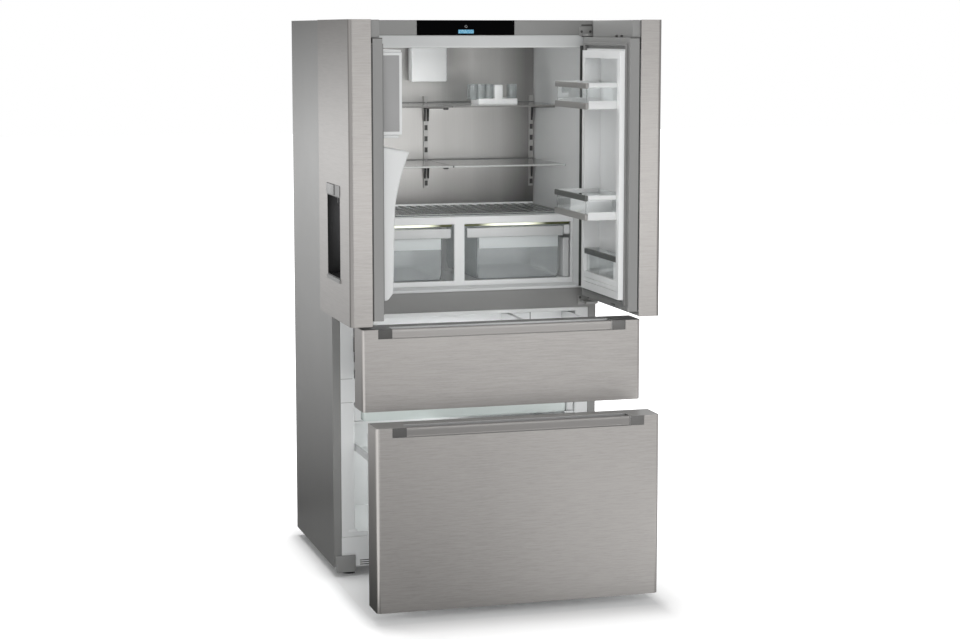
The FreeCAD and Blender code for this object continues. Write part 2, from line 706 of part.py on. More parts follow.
def hinge_brackets():
    """Upper and lower hinge brackets on both sides."""
    top = INNER_HIGH + HINGE_AIR
    bottom = DOOR_LOW - HINGE_AIR - HINGE_PLATE
    upper = hinge_bracket(top, top, top - PIN_LENGTH)
    lower = hinge_bracket(bottom, bottom + HINGE_PLATE - HINGE_FOOT[2] / 2, bottom)
    left = [upper, lower]
    return Part.makeCompound(left + [mirrored(b) for b in left])


def runner_pair(member, low, front, back):
    """A pair of runner members; member 0 is on the wall, 1 is the middle one."""
    outer = FREEZER_X - member * MEMBER_PITCH
    return both_sides(outer - RUNNER_MEMBER, outer, front, back, low, low + RUNNER_HEIGHT)


def runner_outer_members():
    """The fixed runner members of both drawers."""
    return Part.makeCompound([m for low in (UPPER_RUNNER, LOWER_RUNNER)
                              for m in runner_pair(0, low, RUNNER_FRONT, RUNNER_END)])


def runner_middle(low, travel):
    """The middle members of one drawer, half way along with it."""
    pair = runner_pair(1, low, RUNNER_FRONT, RUNNER_END)
    return pulled(Part.makeCompound(pair), travel / 2)


def freezer_tray():
    """Clear pull-out tray on the ledges above the lower drawer."""
    side = FREEZER_X - TRAY_SIDE_GAP
    return open_box(-side, side, SEAT_GAP, BOX_BACK, TRAY_LOW, TRAY_HIGH, TRAY_WALL)


def evaporator_cover():
    """White panel over the evaporator with the fan opening, its spider and the fan's shaft."""
    y0 = EVAPORATOR_COVER_AT
    y1 = y0 + EVAPORATOR_COVER
    z = FREEZER_CEILING - FAN_DROP
    panel = block(-FREEZER_X, FREEZER_X, y0, y1, STEP_FLOOR, FREEZER_CEILING)
    panel = panel.cut(rod(FAN_OPENING, EVAPORATOR_COVER, Vec(0, y0, z), BACKWARD))
    half = SPIDER_ARM / 2
    across = block(-FAN_OPENING, FAN_OPENING, y0, y1, z - half, z + half)
    upright = block(-half, half, y0, y1, z - FAN_OPENING, z + FAN_OPENING)
    hub = rod(FAN_HUB, EVAPORATOR_COVER, Vec(0, y0, z), BACKWARD)
    shaft = rod(FAN_SHAFT, FAN_STANDOFF + FAN_DEPTH + EVAPORATOR_COVER, Vec(0, y0, z), BACKWARD)
    return join(panel, across, upright, hub, shaft)


def evaporator_fan():
    """Fan wheel on the shaft behind the evaporator cover."""
    y0 = EVAPORATOR_COVER_AT + EVAPORATOR_COVER + FAN_STANDOFF
    z = FREEZER_CEILING - FAN_DROP
    wheel = rod(FAN_HUB, FAN_DEPTH, Vec(0, y0, z), BACKWARD)
    blades = []
    for i in range(FAN_BLADES):
        blade = block(-FAN_DEPTH / 2, FAN_DEPTH / 2, -FAN_BLADE / 2, FAN_BLADE / 2, FAN_HUB / 2, FAN_RADIUS)
        blade.rotate(Vec(0, 0, 0), UP, FAN_PITCH)
        blade.rotate(Vec(0, 0, 0), BACKWARD, 360.0 * i / FAN_BLADES)
        blade.translate(Vec(0, y0 + FAN_DEPTH / 2, z))
        blades.append(blade)
    wheel = join(wheel, *blades)
    return wheel.cut(rod(FAN_SHAFT + PIN_CLEARANCE, FAN_DEPTH, Vec(0, y0, z), BACKWARD))


def finned(x0, x1, y0, y1, z0, z1, header, fins, fin):
    """A heat exchanger block: two header plates joined by upright fins along X."""
    pieces = [block(x0, x1, y0, y1, z0, z0 + header), block(x0, x1, y0, y1, z1 - header, z1)]
    pitch = (x1 - x0 - fin) / (fins - 1)
    pieces += [block(x0 + i * pitch, x0 + i * pitch + fin, y0, y1, z0, z1) for i in range(fins)]
    return join(*pieces)


def evaporator():
    """Finned cooler behind the freezer's rear cover."""
    wide, deep, tall = EVAPORATOR_SIZE
    y0 = EVAPORATOR_COVER_AT + EVAPORATOR_COVER
    z0 = STEP_FLOOR + EVAPORATOR_LIFT
    return finned(-wide / 2, wide / 2, y0, y0 + deep, z0, z0 + tall,
                  EVAPORATOR_HEADER, EVAPORATOR_FINS, EVAPORATOR_FIN)


def condenser():
    """Finned condenser on the base plate of the machine room."""
    front, back = (DEPTH - y for y in CONDENSER_Y)
    left = -HALF + CONDENSER_SIDE
    return finned(left, left + CONDENSER_WIDTH, front, back, FLOOR_TOP,
                  FLOOR_TOP + CONDENSER_HEIGHT, CONDENSER_HEADER, CONDENSER_FINS, CONDENSER_FIN)


def compressor():
    """Hermetic compressor pot on four rubber feet."""
    x = COMPRESSOR_AT[0]
    y = DEPTH - COMPRESSOR_AT[1]
    radius, tall = COMPRESSOR_FOOT
    low = FLOOR_TOP + tall
    pot = rod(COMPRESSOR_RADIUS, COMPRESSOR_HEIGHT, Vec(x, y, low), UP)
    rims = [e for e in pot.Edges if e.Curve.TypeId == "Part::GeomCircle"]
    pot = pot.makeFillet(COMPRESSOR_ROUND, rims)
    feet = []
    for i in range(COMPRESSOR_FEET):
        turn = 2 * math.pi * (i + 1 / 2) / COMPRESSOR_FEET
        out = Vec(math.cos(turn), math.sin(turn), 0) * COMPRESSOR_FOOT_CIRCLE
        feet.append(rod(radius, tall + COMPRESSOR_RADIUS / 2, Vec(x, y, FLOOR_TOP) + out, UP))
    return join(pot, *feet)


def water_valve():
    """Water inlet valve whose threaded nipple faces the back."""
    x, z = VALVE_AT
    wide, deep, tall = VALVE_BODY
    back = DEPTH - INLET_LENGTH
    body = block(x - wide / 2, x + wide / 2, back - deep, back, FLOOR_TOP, z + tall / 2)
    return join(body, rod(INLET_RADIUS, INLET_LENGTH, Vec(x, back, z), BACKWARD))


def steel_channel(x0, x1, z0, z1, depth):
    """A folded front skin: face and two side returns with rounded upright edges."""
    outer = rounded_front(x0, x1, FACE, FACE + depth, z0, z1, FRONT_RADIUS)
    inner = rounded_front(x0 + SHEET, x1 - SHEET, FACE + SHEET, FACE + depth, z0, z1, FRONT_RADIUS - SHEET)
    return outer.cut(inner)


def hinge_pocket():
    """The space at a door's top corner in which the upper hinge bracket swings."""
    return block(DOOR_HINGE, PIVOT_X + HINGE_FOOT[0], PIVOT_Y - HINGE_BOSS - HINGE_AIR, RETURN_END,
                 INNER_HIGH, HEIGHT)


def door_panel():
    """Steel skin of a door, notched for the upper hinge."""
    return steel_channel(DOOR_HINGE, DOOR_FREE, DOOR_LOW, HEIGHT, SKIN_RETURN).cut(hinge_pocket())


def left_door_panel():
    """Steel skin of the left door with the dispenser's window."""
    window = block(DISPENSER_LEFT, DISPENSER_RIGHT, FACE, FACE + SHEET, DISPENSER_LOW, DISPENSER_HIGH)
    return door_panel().cut(window)


def filling(z0, z1):
    """A slice that fills the steel skin of a door."""
    return rounded_front(DOOR_HINGE + SHEET, DOOR_FREE - SHEET, FACE + SHEET, RETURN_END, z0, z1, FRONT_RADIUS)


def pin_bore(z0, z1):
    """The bore that a hinge pin turns in."""
    return rod(PIN_RADIUS + PIN_CLEARANCE, z1 - z0, Vec(PIVOT_X, PIVOT_Y, z0), UP)


def door_frame():
    """Grey moulded edge of a door: the inner ring and the caps that hold the hinge pins."""
    left = DOOR_HINGE + SHEET
    right = DOOR_FREE - SHEET
    ring = frame_ring((left, right, CORE_LOW, INNER_HIGH), (LINER_HINGE, LINER_FREE, LINER_LOW, LINER_HIGH),
                      INNER_START, BACK)
    bottom = filling(DOOR_LOW + SHEET, CORE_LOW).cut(pin_bore(DOOR_LOW + SHEET, CORE_LOW))
    top = filling(CORE_HIGH, ROOF).cut(pin_bore(CORE_HIGH, ROOF))
    return Part.makeCompound([ring, bottom, top.cut(hinge_pocket())])


def door_gasket():
    """Magnetic seal on the back of a door."""
    outer = (LINER_HINGE - GASKET_WIDTH, LINER_FREE + GASKET_WIDTH,
             LINER_LOW - GASKET_INSET, LINER_HIGH + GASKET_INSET)
    inner = (LINER_HINGE, LINER_FREE, outer[2] + GASKET_WIDTH, outer[3] - GASKET_WIDTH)
    return frame_ring(outer, inner, BACK, -GASKET_AIR)


def door_liner():
    """Foam-filled inner lining of a door, narrowed at the groove and seated in the frame ring."""
    core = filling(CORE_LOW, CORE_HIGH)
    neck = block(DOOR_HINGE + GROOVE_INSET, DOOR_FREE - GROOVE_INSET, RETURN_END, INNER_START,
                 CORE_LOW, CORE_HIGH)
    face = block(LINER_HINGE, LINER_FREE, INNER_START, BACK, LINER_LOW, LINER_HIGH)
    return join(core, neck, face)


def left_door_liner():
    """Lining of the left door with the passage for the dispenser."""
    return door_liner().cut(block(DISPENSER_LEFT, DISPENSER_RIGHT, FACE, BACK, DISPENSER_LOW, DISPENSER_HIGH))


def right_door_liner():
    """Lining of a rack door: a raised dike round a pocket for the racks, drawn for the left side."""
    outer = (DIKE_HINGE, LINER_FREE, DIKE_LOW, DIKE_HIGH)
    dike = block(outer[0], outer[1], BACK, BACK + DIKE_HEIGHT, outer[2], outer[3])
    pocket = block(POCKET_HINGE, POCKET_FREE, POCKET_FLOOR, BACK + DIKE_HEIGHT,
                   DIKE_LOW + DIKE_WIDTH, DIKE_HIGH - DIKE_WIDTH)
    return join(door_liner(), dike).cut(pocket)


def rack(name):
    """A clear door rack with a thicker rim, drawn for the left side."""
    front = LOWER_RACK_FRONT if name == "lower_rack" else RACK_FRONT
    high = level(RACK_TOPS[name])
    low = level(RACK_TOPS[name] + RACK_HEIGHTS[name])
    x0 = POCKET_HINGE + SEAT_GAP
    x1 = POCKET_FREE - SEAT_GAP
    shell = open_box(x0, x1, POCKET_FLOOR + SEAT_GAP, front, low, high, RACK_WALL)
    deep, tall = RACK_RIM
    rims = [block(x0, x1, front - deep, front, z, z + tall) for z in (high - tall, low)]
    return join(shell, *rims)


def dispenser_recess():
    """Dark niche of the dispenser with the ears of the paddle's axle."""
    outer = block(DISPENSER_LEFT, DISPENSER_RIGHT, FACE, BACK, NICHE_LOW, NICHE_HIGH)
    inner = block(DISPENSER_LEFT + NICHE_WALL, DISPENSER_RIGHT - NICHE_WALL, FACE, BACK - NICHE_WALL,
                  NICHE_LOW + NICHE_WALL, NICHE_HIGH - NICHE_WALL)
    reach = PADDLE_WIDTH / 2 + SEAT_GAP
    ears = []
    for x in (DISPENSER_X - reach - EAR_THICK, DISPENSER_X + reach):
        ears.append(block(x, x + EAR_THICK, AXLE_Y - EAR_REACH, BACK - NICHE_WALL,
                          AXLE_Z - EAR_REACH, AXLE_Z + EAR_REACH))
    bore = rod(PADDLE_AXLE + PIN_CLEARANCE, DISPENSER_WIDTH, Vec(DISPENSER_LEFT, AXLE_Y, AXLE_Z), ACROSS)
    ears = [e.cut(bore) for e in ears]
    mouth = Vec(DISPENSER_X, FACE + SPOUT_BACK, NICHE_HIGH - NICHE_WALL)
    spout = rod(SPOUT_RADIUS + SEAT_GAP, NICHE_WALL, mouth, UP)
    return join(outer.cut(inner), *ears).cut(spout)


def dispenser_bezel():
    """Bright head of the dispenser with its spout."""
    head = block(DISPENSER_LEFT, DISPENSER_RIGHT, FACE - BEZEL_PROUD, BACK, NICHE_HIGH, DISPENSER_HIGH)
    spout = rod(SPOUT_RADIUS, SPOUT_LENGTH, Vec(DISPENSER_X, FACE + SPOUT_BACK, NICHE_HIGH - SPOUT_LENGTH), UP)
    return join(head, spout)


def drip_tray():
    """Drip tray that forms the dispenser's sill."""
    return block(DISPENSER_LEFT, DISPENSER_RIGHT, FACE - DRIP_PROUD, BACK, DISPENSER_LOW, NICHE_LOW)


def dispenser_paddle():
    """Paddle that a glass pushes, with its axle."""
    x0 = DISPENSER_X - PADDLE_WIDTH / 2
    half = PADDLE_THICK / 2
    plate = block(x0, x0 + PADDLE_WIDTH, AXLE_Y - half, AXLE_Y + half, AXLE_Z - PADDLE_LENGTH, AXLE_Z)
    end = SEAT_GAP + EAR_THICK
    axle = rod(PADDLE_AXLE, PADDLE_WIDTH + 2 * end, Vec(x0 - end, AXLE_Y, AXLE_Z), ACROSS)
    return join(plate, axle)


def dispenser_housing():
    """Inner housing of the dispenser and ice chute, with a beak that sweeps down into a narrow foot."""
    top = level(HOUSING_TOP_DROP)
    tip = Vec(HOUSING_LEFT, BACK + HOUSING_TIP, top - HOUSING_TIP_FALL)
    neck = Vec(HOUSING_LEFT, BACK + HOUSING_NECK, level(HOUSING_NECK_DROP))
    middle = (tip + neck) / 2 - Vec(0, HOUSING_SAG, 0)
    foot = Vec(HOUSING_LEFT, BACK + HOUSING_FOOT, level(HOUSING_FOOT_DROP))
    toe = Vec(HOUSING_LEFT, BACK + HOUSING_BOTTOM, level(HOUSING_BOTTOM_DROP))
    heel = Vec(HOUSING_LEFT, BACK, level(HOUSING_BOTTOM_DROP))
    crown = Vec(HOUSING_LEFT, BACK, top)
    sweep = Part.Arc(tip, middle, neck).toShape()
    sides = Part.makePolygon([neck, foot, toe, heel, crown, tip]).Edges
    face = Part.Face(Part.Wire([sweep] + sides))
    return face.extrude(Vec(HOUSING_RIGHT - HOUSING_LEFT, 0, 0))


def ice_maker_box():
    """Insulated box of the ice maker, open towards the cabinet, with the tray's axle."""
    outer = block(HOUSING_LEFT, HOUSING_RIGHT, BACK, ICE_FACE, ICE_LOW, ICE_HIGH)
    wall = ICE_BOX_WALL
    inner = block(HOUSING_LEFT + wall, HOUSING_RIGHT - wall, BACK + wall, ICE_FACE,
                  ICE_LOW + wall, ICE_HIGH - wall)
    start = Vec(HOUSING_LEFT + wall / 2, ICE_Y, ICE_Z)
    axle = rod(ICE_AXLE, HOUSING_RIGHT - HOUSING_LEFT - wall, start, ACROSS)
    return join(outer.cut(inner), axle)


def ice_tray():
    """Ice mould that turns over on its axle, with a row of pockets."""
    wide, deep, tall = ICE_TRAY_SIZE
    x0 = ICE_X - wide / 2
    solid = block(x0, x0 + wide, ICE_Y - deep / 2, ICE_Y + deep / 2, ICE_Z - tall / 2, ICE_Z + tall / 2)
    pitch = (wide - ICE_TRAY_WALL) / ICE_TRAY_ROWS
    inside = ICE_AXLE + 2 * ICE_TRAY_WALL
    outside = deep / 2 - ICE_TRAY_WALL
    for i in range(ICE_TRAY_ROWS):
        left = x0 + ICE_TRAY_WALL + i * pitch
        for y0, y1 in ((ICE_Y - outside, ICE_Y - inside), (ICE_Y + inside, ICE_Y + outside)):
            solid = solid.cut(block(left, left + pitch - ICE_TRAY_WALL, y0, y1,
                                    ICE_Z - tall / 2 + ICE_TRAY_WALL, ICE_Z + tall / 2))
    return solid.cut(rod(ICE_AXLE + PIN_CLEARANCE, wide, Vec(x0, ICE_Y, ICE_Z), ACROSS))


def ice_bin():
    """Bucket that catches the ice below the tray."""
    wall = ICE_BOX_WALL
    return open_box(HOUSING_LEFT + wall + SEAT_GAP, HOUSING_RIGHT - wall - SEAT_GAP, BACK + wall + SEAT_GAP,
                    ICE_FACE - ICE_BIN_GAP, ICE_LOW + wall, ICE_LOW + wall + ICE_BIN_HEIGHT * STRETCH,
                    ICE_BIN_WALL)


def drawer_panel(z0, z1):
    """Steel front of a drawer with the grip notch in its upper edge."""
    skin = steel_channel(-HALF, HALF, z0, z1, FRONT_THICK)
    half = HALF - GRIP_NOTCH_SIDE
    return skin.cut(block(-half, half, FACE, FACE + SHEET, z1 - GRIP_NOTCH_DEPTH, z1))


def drawer_core(z0, z1):
    """Foam-filled inner panel of a drawer front, with the finger cavity behind the notch."""
    core = rounded_front(-INSIDE, INSIDE, FACE + SHEET, BACK, z0, z1, FRONT_RADIUS)
    half = HALF - GRIP_BAR_SIDE
    return core.cut(block(-half, half, FACE, FACE + GRIP_CAVITY_BACK, z1 - GRIP_CAVITY_DEPTH, z1))


def drawer_grip(z1):
    """Steel bar across the notch with a bowed front; the fingers reach into the cavity behind it."""
    front = FACE + GRIP_BAR_FRONT
    back = front + GRIP_BAR_DEPTH
    low = z1 - GRIP_NOTCH_DEPTH + GRIP_BAR_GAP
    high = z1 - GRIP_BAR_GAP
    edge = front + GRIP_BAR_BOW
    points = [(back, low), (back, high), (edge, high), (front, high - GRIP_BAR_SHOULDER),
              (front, low + GRIP_BAR_SHOULDER), (edge, low)]
    return prism_x(points, -HALF + GRIP_BAR_SIDE, HALF - GRIP_BAR_SIDE)


def drawer_gasket(low, high):
    """Magnetic seal on the back of a drawer front."""
    side = MOUTH - SHEET
    inner_side = side - GASKET_WIDTH
    return frame_ring((-side, side, low, high),
                      (-inner_side, inner_side, low + GASKET_WIDTH, high - GASKET_WIDTH), BACK, -GASKET_AIR)


def runner_rib(side, low):
    """The rail along a drawer box that rides in the middle runner member."""
    x0, x1 = sorted((side * BOX_X, side * (BOX_X + RUNNER_MEMBER)))
    return block(x0, x1, BACK, RUNNER_END, low, low + RUNNER_HEIGHT)


def upper_drawer_boxes():
    """Two white boxes side by side behind the upper front."""
    low = DIVIDER_HIGH + BOX_CLEARANCE
    high = FREEZER_CEILING - BOX_CLEARANCE
    seam = BOX_SEAM_GAP / 2
    left = open_box(-BOX_X, UPPER_BOX_SEAM - seam, BACK, BOX_BACK, low, high, BOX_WALL)
    right = open_box(UPPER_BOX_SEAM + seam, BOX_X, BACK, BOX_BACK, low, high, BOX_WALL)
    return Part.makeCompound([join(left, runner_rib(-1, UPPER_RUNNER)),
                              join(right, runner_rib(1, UPPER_RUNNER))])


def lower_drawer_box():
    """Deep white box behind the lower front."""
    low = FREEZER_FLOOR + BOX_CLEARANCE
    high = LEDGE_LOW - LOWER_BOX_TOP_GAP
    body = open_box(-BOX_X, BOX_X, BACK, LOWER_BOX_BACK, low, high, BOX_WALL)
    return join(body, runner_rib(-1, LOWER_RUNNER), runner_rib(1, LOWER_RUNNER))


def cabinet_parts():
    """Every fixed piece, and the moving pieces stored in their shut place."""
    return {
        "cabinet_shell": cabinet_shell(),
        "back_panels": back_panels(),
        "base_plate": base_plate(),
        "insulation_foam": insulation_foam(),
        "front_frame": front_frame(),
        "plinth": plinth(),
        "foot_covers": foot_covers(),
        "levelling_feet": levelling_feet(),
        "fridge_liner": fridge_liner(),
        "freezer_liner": freezer_liner(),
        "display_glass": display_glass(),
        "rear_wall_panel": rear_wall_panel(),
        "shelf_supports": shelf_supports(),
        "glass_shelves": glass_shelves(),
        "crisper_frame": crisper_frame(),
        "crisper_cover_glass": crisper_cover_glass(),
        "left_crisper": left_crisper(),
        "right_crisper": right_crisper(),
        "air_filter_box": air_filter_box(),
        "egg_tray": egg_tray(),
        "hinge_brackets": hinge_brackets(),
        "runner_outer_members": runner_outer_members(),
        "freezer_tray": freezer_tray(),
        "evaporator_cover": evaporator_cover(),
        "evaporator_fan": evaporator_fan(),
        "evaporator": evaporator(),
        "condenser": condenser(),
        "compressor": compressor(),
        "water_valve": water_valve(),
    }


def left_door_parts():
    """The left door, drawn shut."""
    return {
        "left_door_panel": left_door_panel(),
        "left_door_frame": door_frame(),
        "left_door_gasket": door_gasket(),
        "left_door_liner": left_door_liner(),
        "dispenser_recess": dispenser_recess(),
        "dispenser_bezel": dispenser_bezel(),
        "drip_tray": drip_tray(),
        "dispenser_paddle": dispenser_paddle(),
        "dispenser_housing": dispenser_housing(),
        "ice_maker_box": ice_maker_box(),
        "ice_tray": ice_tray(),
        "ice_bin": ice_bin(),
    }


def right_door_parts():
    """The right door, drawn shut on the left side."""
    parts = {
        "right_door_panel": door_panel(),
        "right_door_frame": door_frame(),
        "right_door_gasket": door_gasket(),
        "right_door_liner": right_door_liner(),
    }
    parts.update({name: rack(name) for name in RACK_TOPS})
    return parts


def drawer_parts(name, z0, z1, gasket, box):
    """The pieces of one drawer, drawn shut."""
    return {
        name + "_panel": drawer_panel(z0, z1),
        name + "_core": drawer_core(z0, z1),
        name + "_grip": drawer_grip(z1),
        name + "_gasket": drawer_gasket(*gasket),
        name + "_box": box,
    }


def build():
    """All pieces by name, in the stored pose."""
    parts = cabinet_parts()
    for name, shape in left_door_parts().items():
        parts[name] = swung(shape)
    for name, shape in right_door_parts().items():
        parts[name] = mirrored(swung(shape))
    seal = GASKET_WIDTH + 2 * SHEET
    upper_seal = (DIVIDER_HIGH - seal - GASKET_WIDTH, FREEZER_CEILING + seal - SHEET)
    lower_seal = (FREEZER_FLOOR - seal, DIVIDER_LOW + seal + GASKET_WIDTH)
    upper = drawer_parts("upper_drawer", UPPER_LOW, UPPER_HIGH, upper_seal, upper_drawer_boxes())
    lower = drawer_parts("lower_drawer", LOWER_LOW, LOWER_HIGH, lower_seal, lower_drawer_box())
    parts.update({name: pulled(shape, UPPER_TRAVEL) for name, shape in upper.items()})
    parts.update({name: pulled(shape, LOWER_TRAVEL) for name, shape in lower.items()})
    parts["upper_runner_middle"] = runner_middle(UPPER_RUNNER, UPPER_TRAVEL)
    parts["lower_runner_middle"] = runner_middle(LOWER_RUNNER, LOWER_TRAVEL)
    return parts


os.makedirs("parts", exist_ok=True)
for part_name, part_shape in build().items():
    part_shape.exportStep("parts/" + part_name + ".step")
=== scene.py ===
"""Looks of the French-door refrigerator: finishes for the CAD nodes, fitted details, light and camera."""
import math

import bmesh
import bpy
import numpy as np
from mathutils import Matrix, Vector


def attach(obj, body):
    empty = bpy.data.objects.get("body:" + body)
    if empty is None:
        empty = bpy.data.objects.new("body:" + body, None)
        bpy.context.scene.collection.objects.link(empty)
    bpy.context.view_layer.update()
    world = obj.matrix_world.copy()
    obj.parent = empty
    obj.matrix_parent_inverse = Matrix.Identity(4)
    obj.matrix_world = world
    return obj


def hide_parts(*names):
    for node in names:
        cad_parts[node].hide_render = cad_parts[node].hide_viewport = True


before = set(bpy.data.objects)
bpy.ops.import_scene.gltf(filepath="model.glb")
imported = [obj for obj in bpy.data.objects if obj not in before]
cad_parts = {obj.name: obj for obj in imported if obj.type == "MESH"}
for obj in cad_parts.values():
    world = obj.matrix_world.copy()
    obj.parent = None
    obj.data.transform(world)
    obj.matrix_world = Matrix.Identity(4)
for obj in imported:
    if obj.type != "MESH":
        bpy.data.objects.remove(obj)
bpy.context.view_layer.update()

# Places in the CAD model, in metres: the shut fronts' face, the left door's hinge and the drawers' pull
DOOR_FACE = -0.113
PIVOT_X = -0.435
PIVOT_Y = -0.047
UPPER_OUT = 0.3215
LOWER_OUT = 0.498

# Mesh work: merging and collapsing distances in metres, the steps of a rounded edge
MERGE = 1e-6
COLLAPSE = 1e-7
NODE_WELD = 0.00002
NODE_SHARP = 40
EDGE_STEPS = 3


# Shapes

def lattice(nu, nv, wrap_u=False):
    """Quads between neighbouring points of an nu by nv grid stored row by row."""
    i, j = np.meshgrid(np.arange(nu if wrap_u else nu - 1), np.arange(nv - 1), indexing="ij")
    k = (i + 1) % nu
    return np.stack([i * nv + j, k * nv + j, k * nv + j + 1, i * nv + j + 1], -1).reshape(-1, 4).tolist()


def corner_arcs(steps):
    """A quarter turn in steps, the angles of four such corner arcs, and their sides in x and y."""
    quarter = np.linspace(0, math.pi / 2, steps + 1)
    u = np.concatenate([quarter + k * math.pi / 2 for k in range(4)])
    side_x, side_y = (np.repeat(s, steps + 1) for s in ([1, -1, -1, 1], [1, 1, -1, -1]))
    return quarter, u, side_x, side_y


def rounded_block(low, high, radius, steps=4):
    """Rounded box: the corner of the box shrunk by the radius, plus the radius times the unit vector
    at longitude u and latitude v; u runs round the four corners, v from pole to pole."""
    low, high = np.array(low, float), np.array(high, float)
    mid, half = (low + high) / 2, (high - low) / 2
    radius = min(radius, 0.98 * half.min())
    quarter, u, side_x, side_y = corner_arcs(steps)
    v = np.concatenate([-quarter[::-1], quarter])
    side_z = np.repeat([-1, 1], steps + 1)
    uu, vv = np.meshgrid(u, v, indexing="ij")
    normal = np.stack([np.cos(uu) * np.cos(vv), np.sin(uu) * np.cos(vv), np.sin(vv)], -1)
    side = np.stack(np.broadcast_arrays(side_x[:, None], side_y[:, None], side_z[None, :]), -1)
    points = (mid + side * (half - radius) + radius * normal).reshape(-1, 3)
    rows = len(v)
    corners = np.arange(4) * (steps + 1) * rows
    caps = [corners[::-1].tolist(), (corners + rows - 1).tolist()]
    return points, lattice(len(u), rows, wrap_u=True) + caps


def along(profile, axis, start, end):
    """A closed profile carried straight along an axis from start to end, with both ends closed.
    The profile's two columns are the other two axes in the order x, y, z."""
    profile = np.array(profile, float)
    n = len(profile)
    points = np.zeros((2, n, 3))
    others = [k for k in range(3) if k != axis]
    points[:, :, others] = profile
    points[0, :, axis], points[1, :, axis] = start, end
    i = np.arange(n)
    k = (i + 1) % n
    sides = np.stack([i, k, n + k, n + i], -1).tolist()
    return points.reshape(-1, 3), sides + [i[::-1].tolist(), (n + i).tolist()]


def turned(profile, centre, axis, steps=24):
    """A profile of (radius, height) pairs turned round an axis through the centre: point (i, k) is
    radius i at angle 2 pi k / steps, lifted by height i."""
    profile = np.array(profile, float)
    angle = np.linspace(0, 2 * math.pi, steps, endpoint=False)
    a, b = [k for k in range(3) if k != axis]
    points = np.zeros((steps, len(profile), 3))
    points[:, :, a] = np.cos(angle)[:, None] * profile[:, 0]
    points[:, :, b] = np.sin(angle)[:, None] * profile[:, 0]
    points[:, :, axis] = profile[:, 1]
    return points.reshape(-1, 3) + np.array(centre, float), lattice(steps, len(profile), wrap_u=True)


def several(*shapes):
    """Several shapes as one list of points and faces."""
    points, faces, count = [], [], 0
    for p, f in shapes:
        points.append(np.asarray(p))
        faces += [[i + count for i in face] for face in f]
        count += len(p)
    return np.concatenate(points), faces


def tray(low, high, radius, profile, steps=5):
    """A vessel: each profile row (inset, height) is a rounded rectangle drawn in by its inset; u runs
    round the four corner arcs and v along the rows, and flat floors close the first and last row."""
    mid, half = np.add(low, high) / 2, np.subtract(high, low) / 2
    inset, height = np.array(profile, float).T
    u, side_x, side_y = (values[:, None] for values in corner_arcs(steps)[1:])
    bend = np.maximum(radius - inset, 0.0003)
    x = mid[0] + side_x * (half[0] - inset - bend) + np.cos(u) * bend
    y = mid[1] + side_y * (half[1] - inset - bend) + np.sin(u) * bend
    points = np.stack([x, y, np.broadcast_to(height, x.shape)], -1).reshape(-1, 3)
    rows = len(height)
    first = np.arange(len(u)) * rows
    caps = [first[::-1].tolist(), (first + rows - 1).tolist()]
    return points, lattice(len(u), rows, wrap_u=True) + caps


def ring_sweep(low, high, profile):
    """A closed profile carried round a rectangle in x and z with mitred corners: point (k, i) is corner k
    moved outwards by the profile's first column, at the profile's second column in y."""
    profile = np.array(profile, float)
    corner = np.array([[low[0], low[1]], [high[0], low[1]], [high[0], high[1]], [low[0], high[1]]])
    out = np.array([[-1, -1], [1, -1], [1, 1], [-1, 1]], float)
    xz = corner[:, None, :] + out[:, None, :] * profile[None, :, :1]
    points = np.stack([xz[..., 0], np.broadcast_to(profile[:, 1], xz.shape[:2]), xz[..., 1]], -1)
    n = len(profile)
    k, i = np.meshgrid(np.arange(4), np.arange(n), indexing="ij")
    a, b = (k + 1) % 4, (i + 1) % n
    faces = np.stack([k * n + i, a * n + i, a * n + b, k * n + b], -1).reshape(-1, 4).tolist()
    return points.reshape(-1, 3), faces


def both_sides(shape):
    """A shape and its mirror image across the middle."""
    p, faces = np.asarray(shape[0]), shape[1]
    return several((p, faces), (p * [-1, 1, 1], [f[::-1] for f in faces]))


def left_open(shape):
    """A shape drawn on the shut left door, turned with it by 90 degrees about the hinge."""
    p, faces = np.asarray(shape[0]), shape[1]
    return np.stack([PIVOT_X + p[:, 1] - PIVOT_Y, PIVOT_Y - p[:, 0] + PIVOT_X, p[:, 2]], -1), faces


def right_open(shape):
    """A shape drawn on the shut left door, turned with it and mirrored to the right door."""
    p, faces = left_open(shape)
    return p * [-1, 1, 1], [f[::-1] for f in faces]


def pulled(shape, travel):
    """A shape drawn on a shut drawer, moved out with it."""
    return np.asarray(shape[0]) - [0, travel, 0], shape[1]


def round_edges(obj, width, sharp):
    """Rounds the edges of an object that are sharper than an angle in degrees."""
    edge = obj.modifiers.new("edges", "BEVEL")
    edge.width = width
    edge.segments = EDGE_STEPS
    edge.limit_method = "ANGLE"
    edge.angle_limit = math.radians(sharp)


def piece(name, shape, finish, body, replaces=(), bevel=0.0, smooth=38.0):
    """A mesh object from points and faces that rides on a body; doubles are merged, faces turned out."""
    points, faces = shape
    mesh = bpy.data.meshes.new(name)
    mesh.from_pydata(np.asarray(points).tolist(), [], faces)
    tidy = bmesh.new()
    tidy.from_mesh(mesh)
    bmesh.ops.remove_doubles(tidy, verts=tidy.verts, dist=MERGE)
    bmesh.ops.dissolve_degenerate(tidy, edges=tidy.edges, dist=COLLAPSE)
    bmesh.ops.recalc_face_normals(tidy, faces=tidy.faces)
    tidy.to_mesh(mesh)
    tidy.free()
    mesh.polygons.foreach_set("use_smooth", np.ones(len(mesh.polygons), bool))
    mesh.set_sharp_from_angle(angle=math.radians(smooth))
    mesh.materials.append(finish)
    obj = bpy.data.objects.new(name, mesh)
    bpy.context.scene.collection.objects.link(obj)
    if bevel:
        round_edges(obj, bevel, smooth)
    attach(obj, body)
    if replaces:
        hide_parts(*replaces)


# Finishes

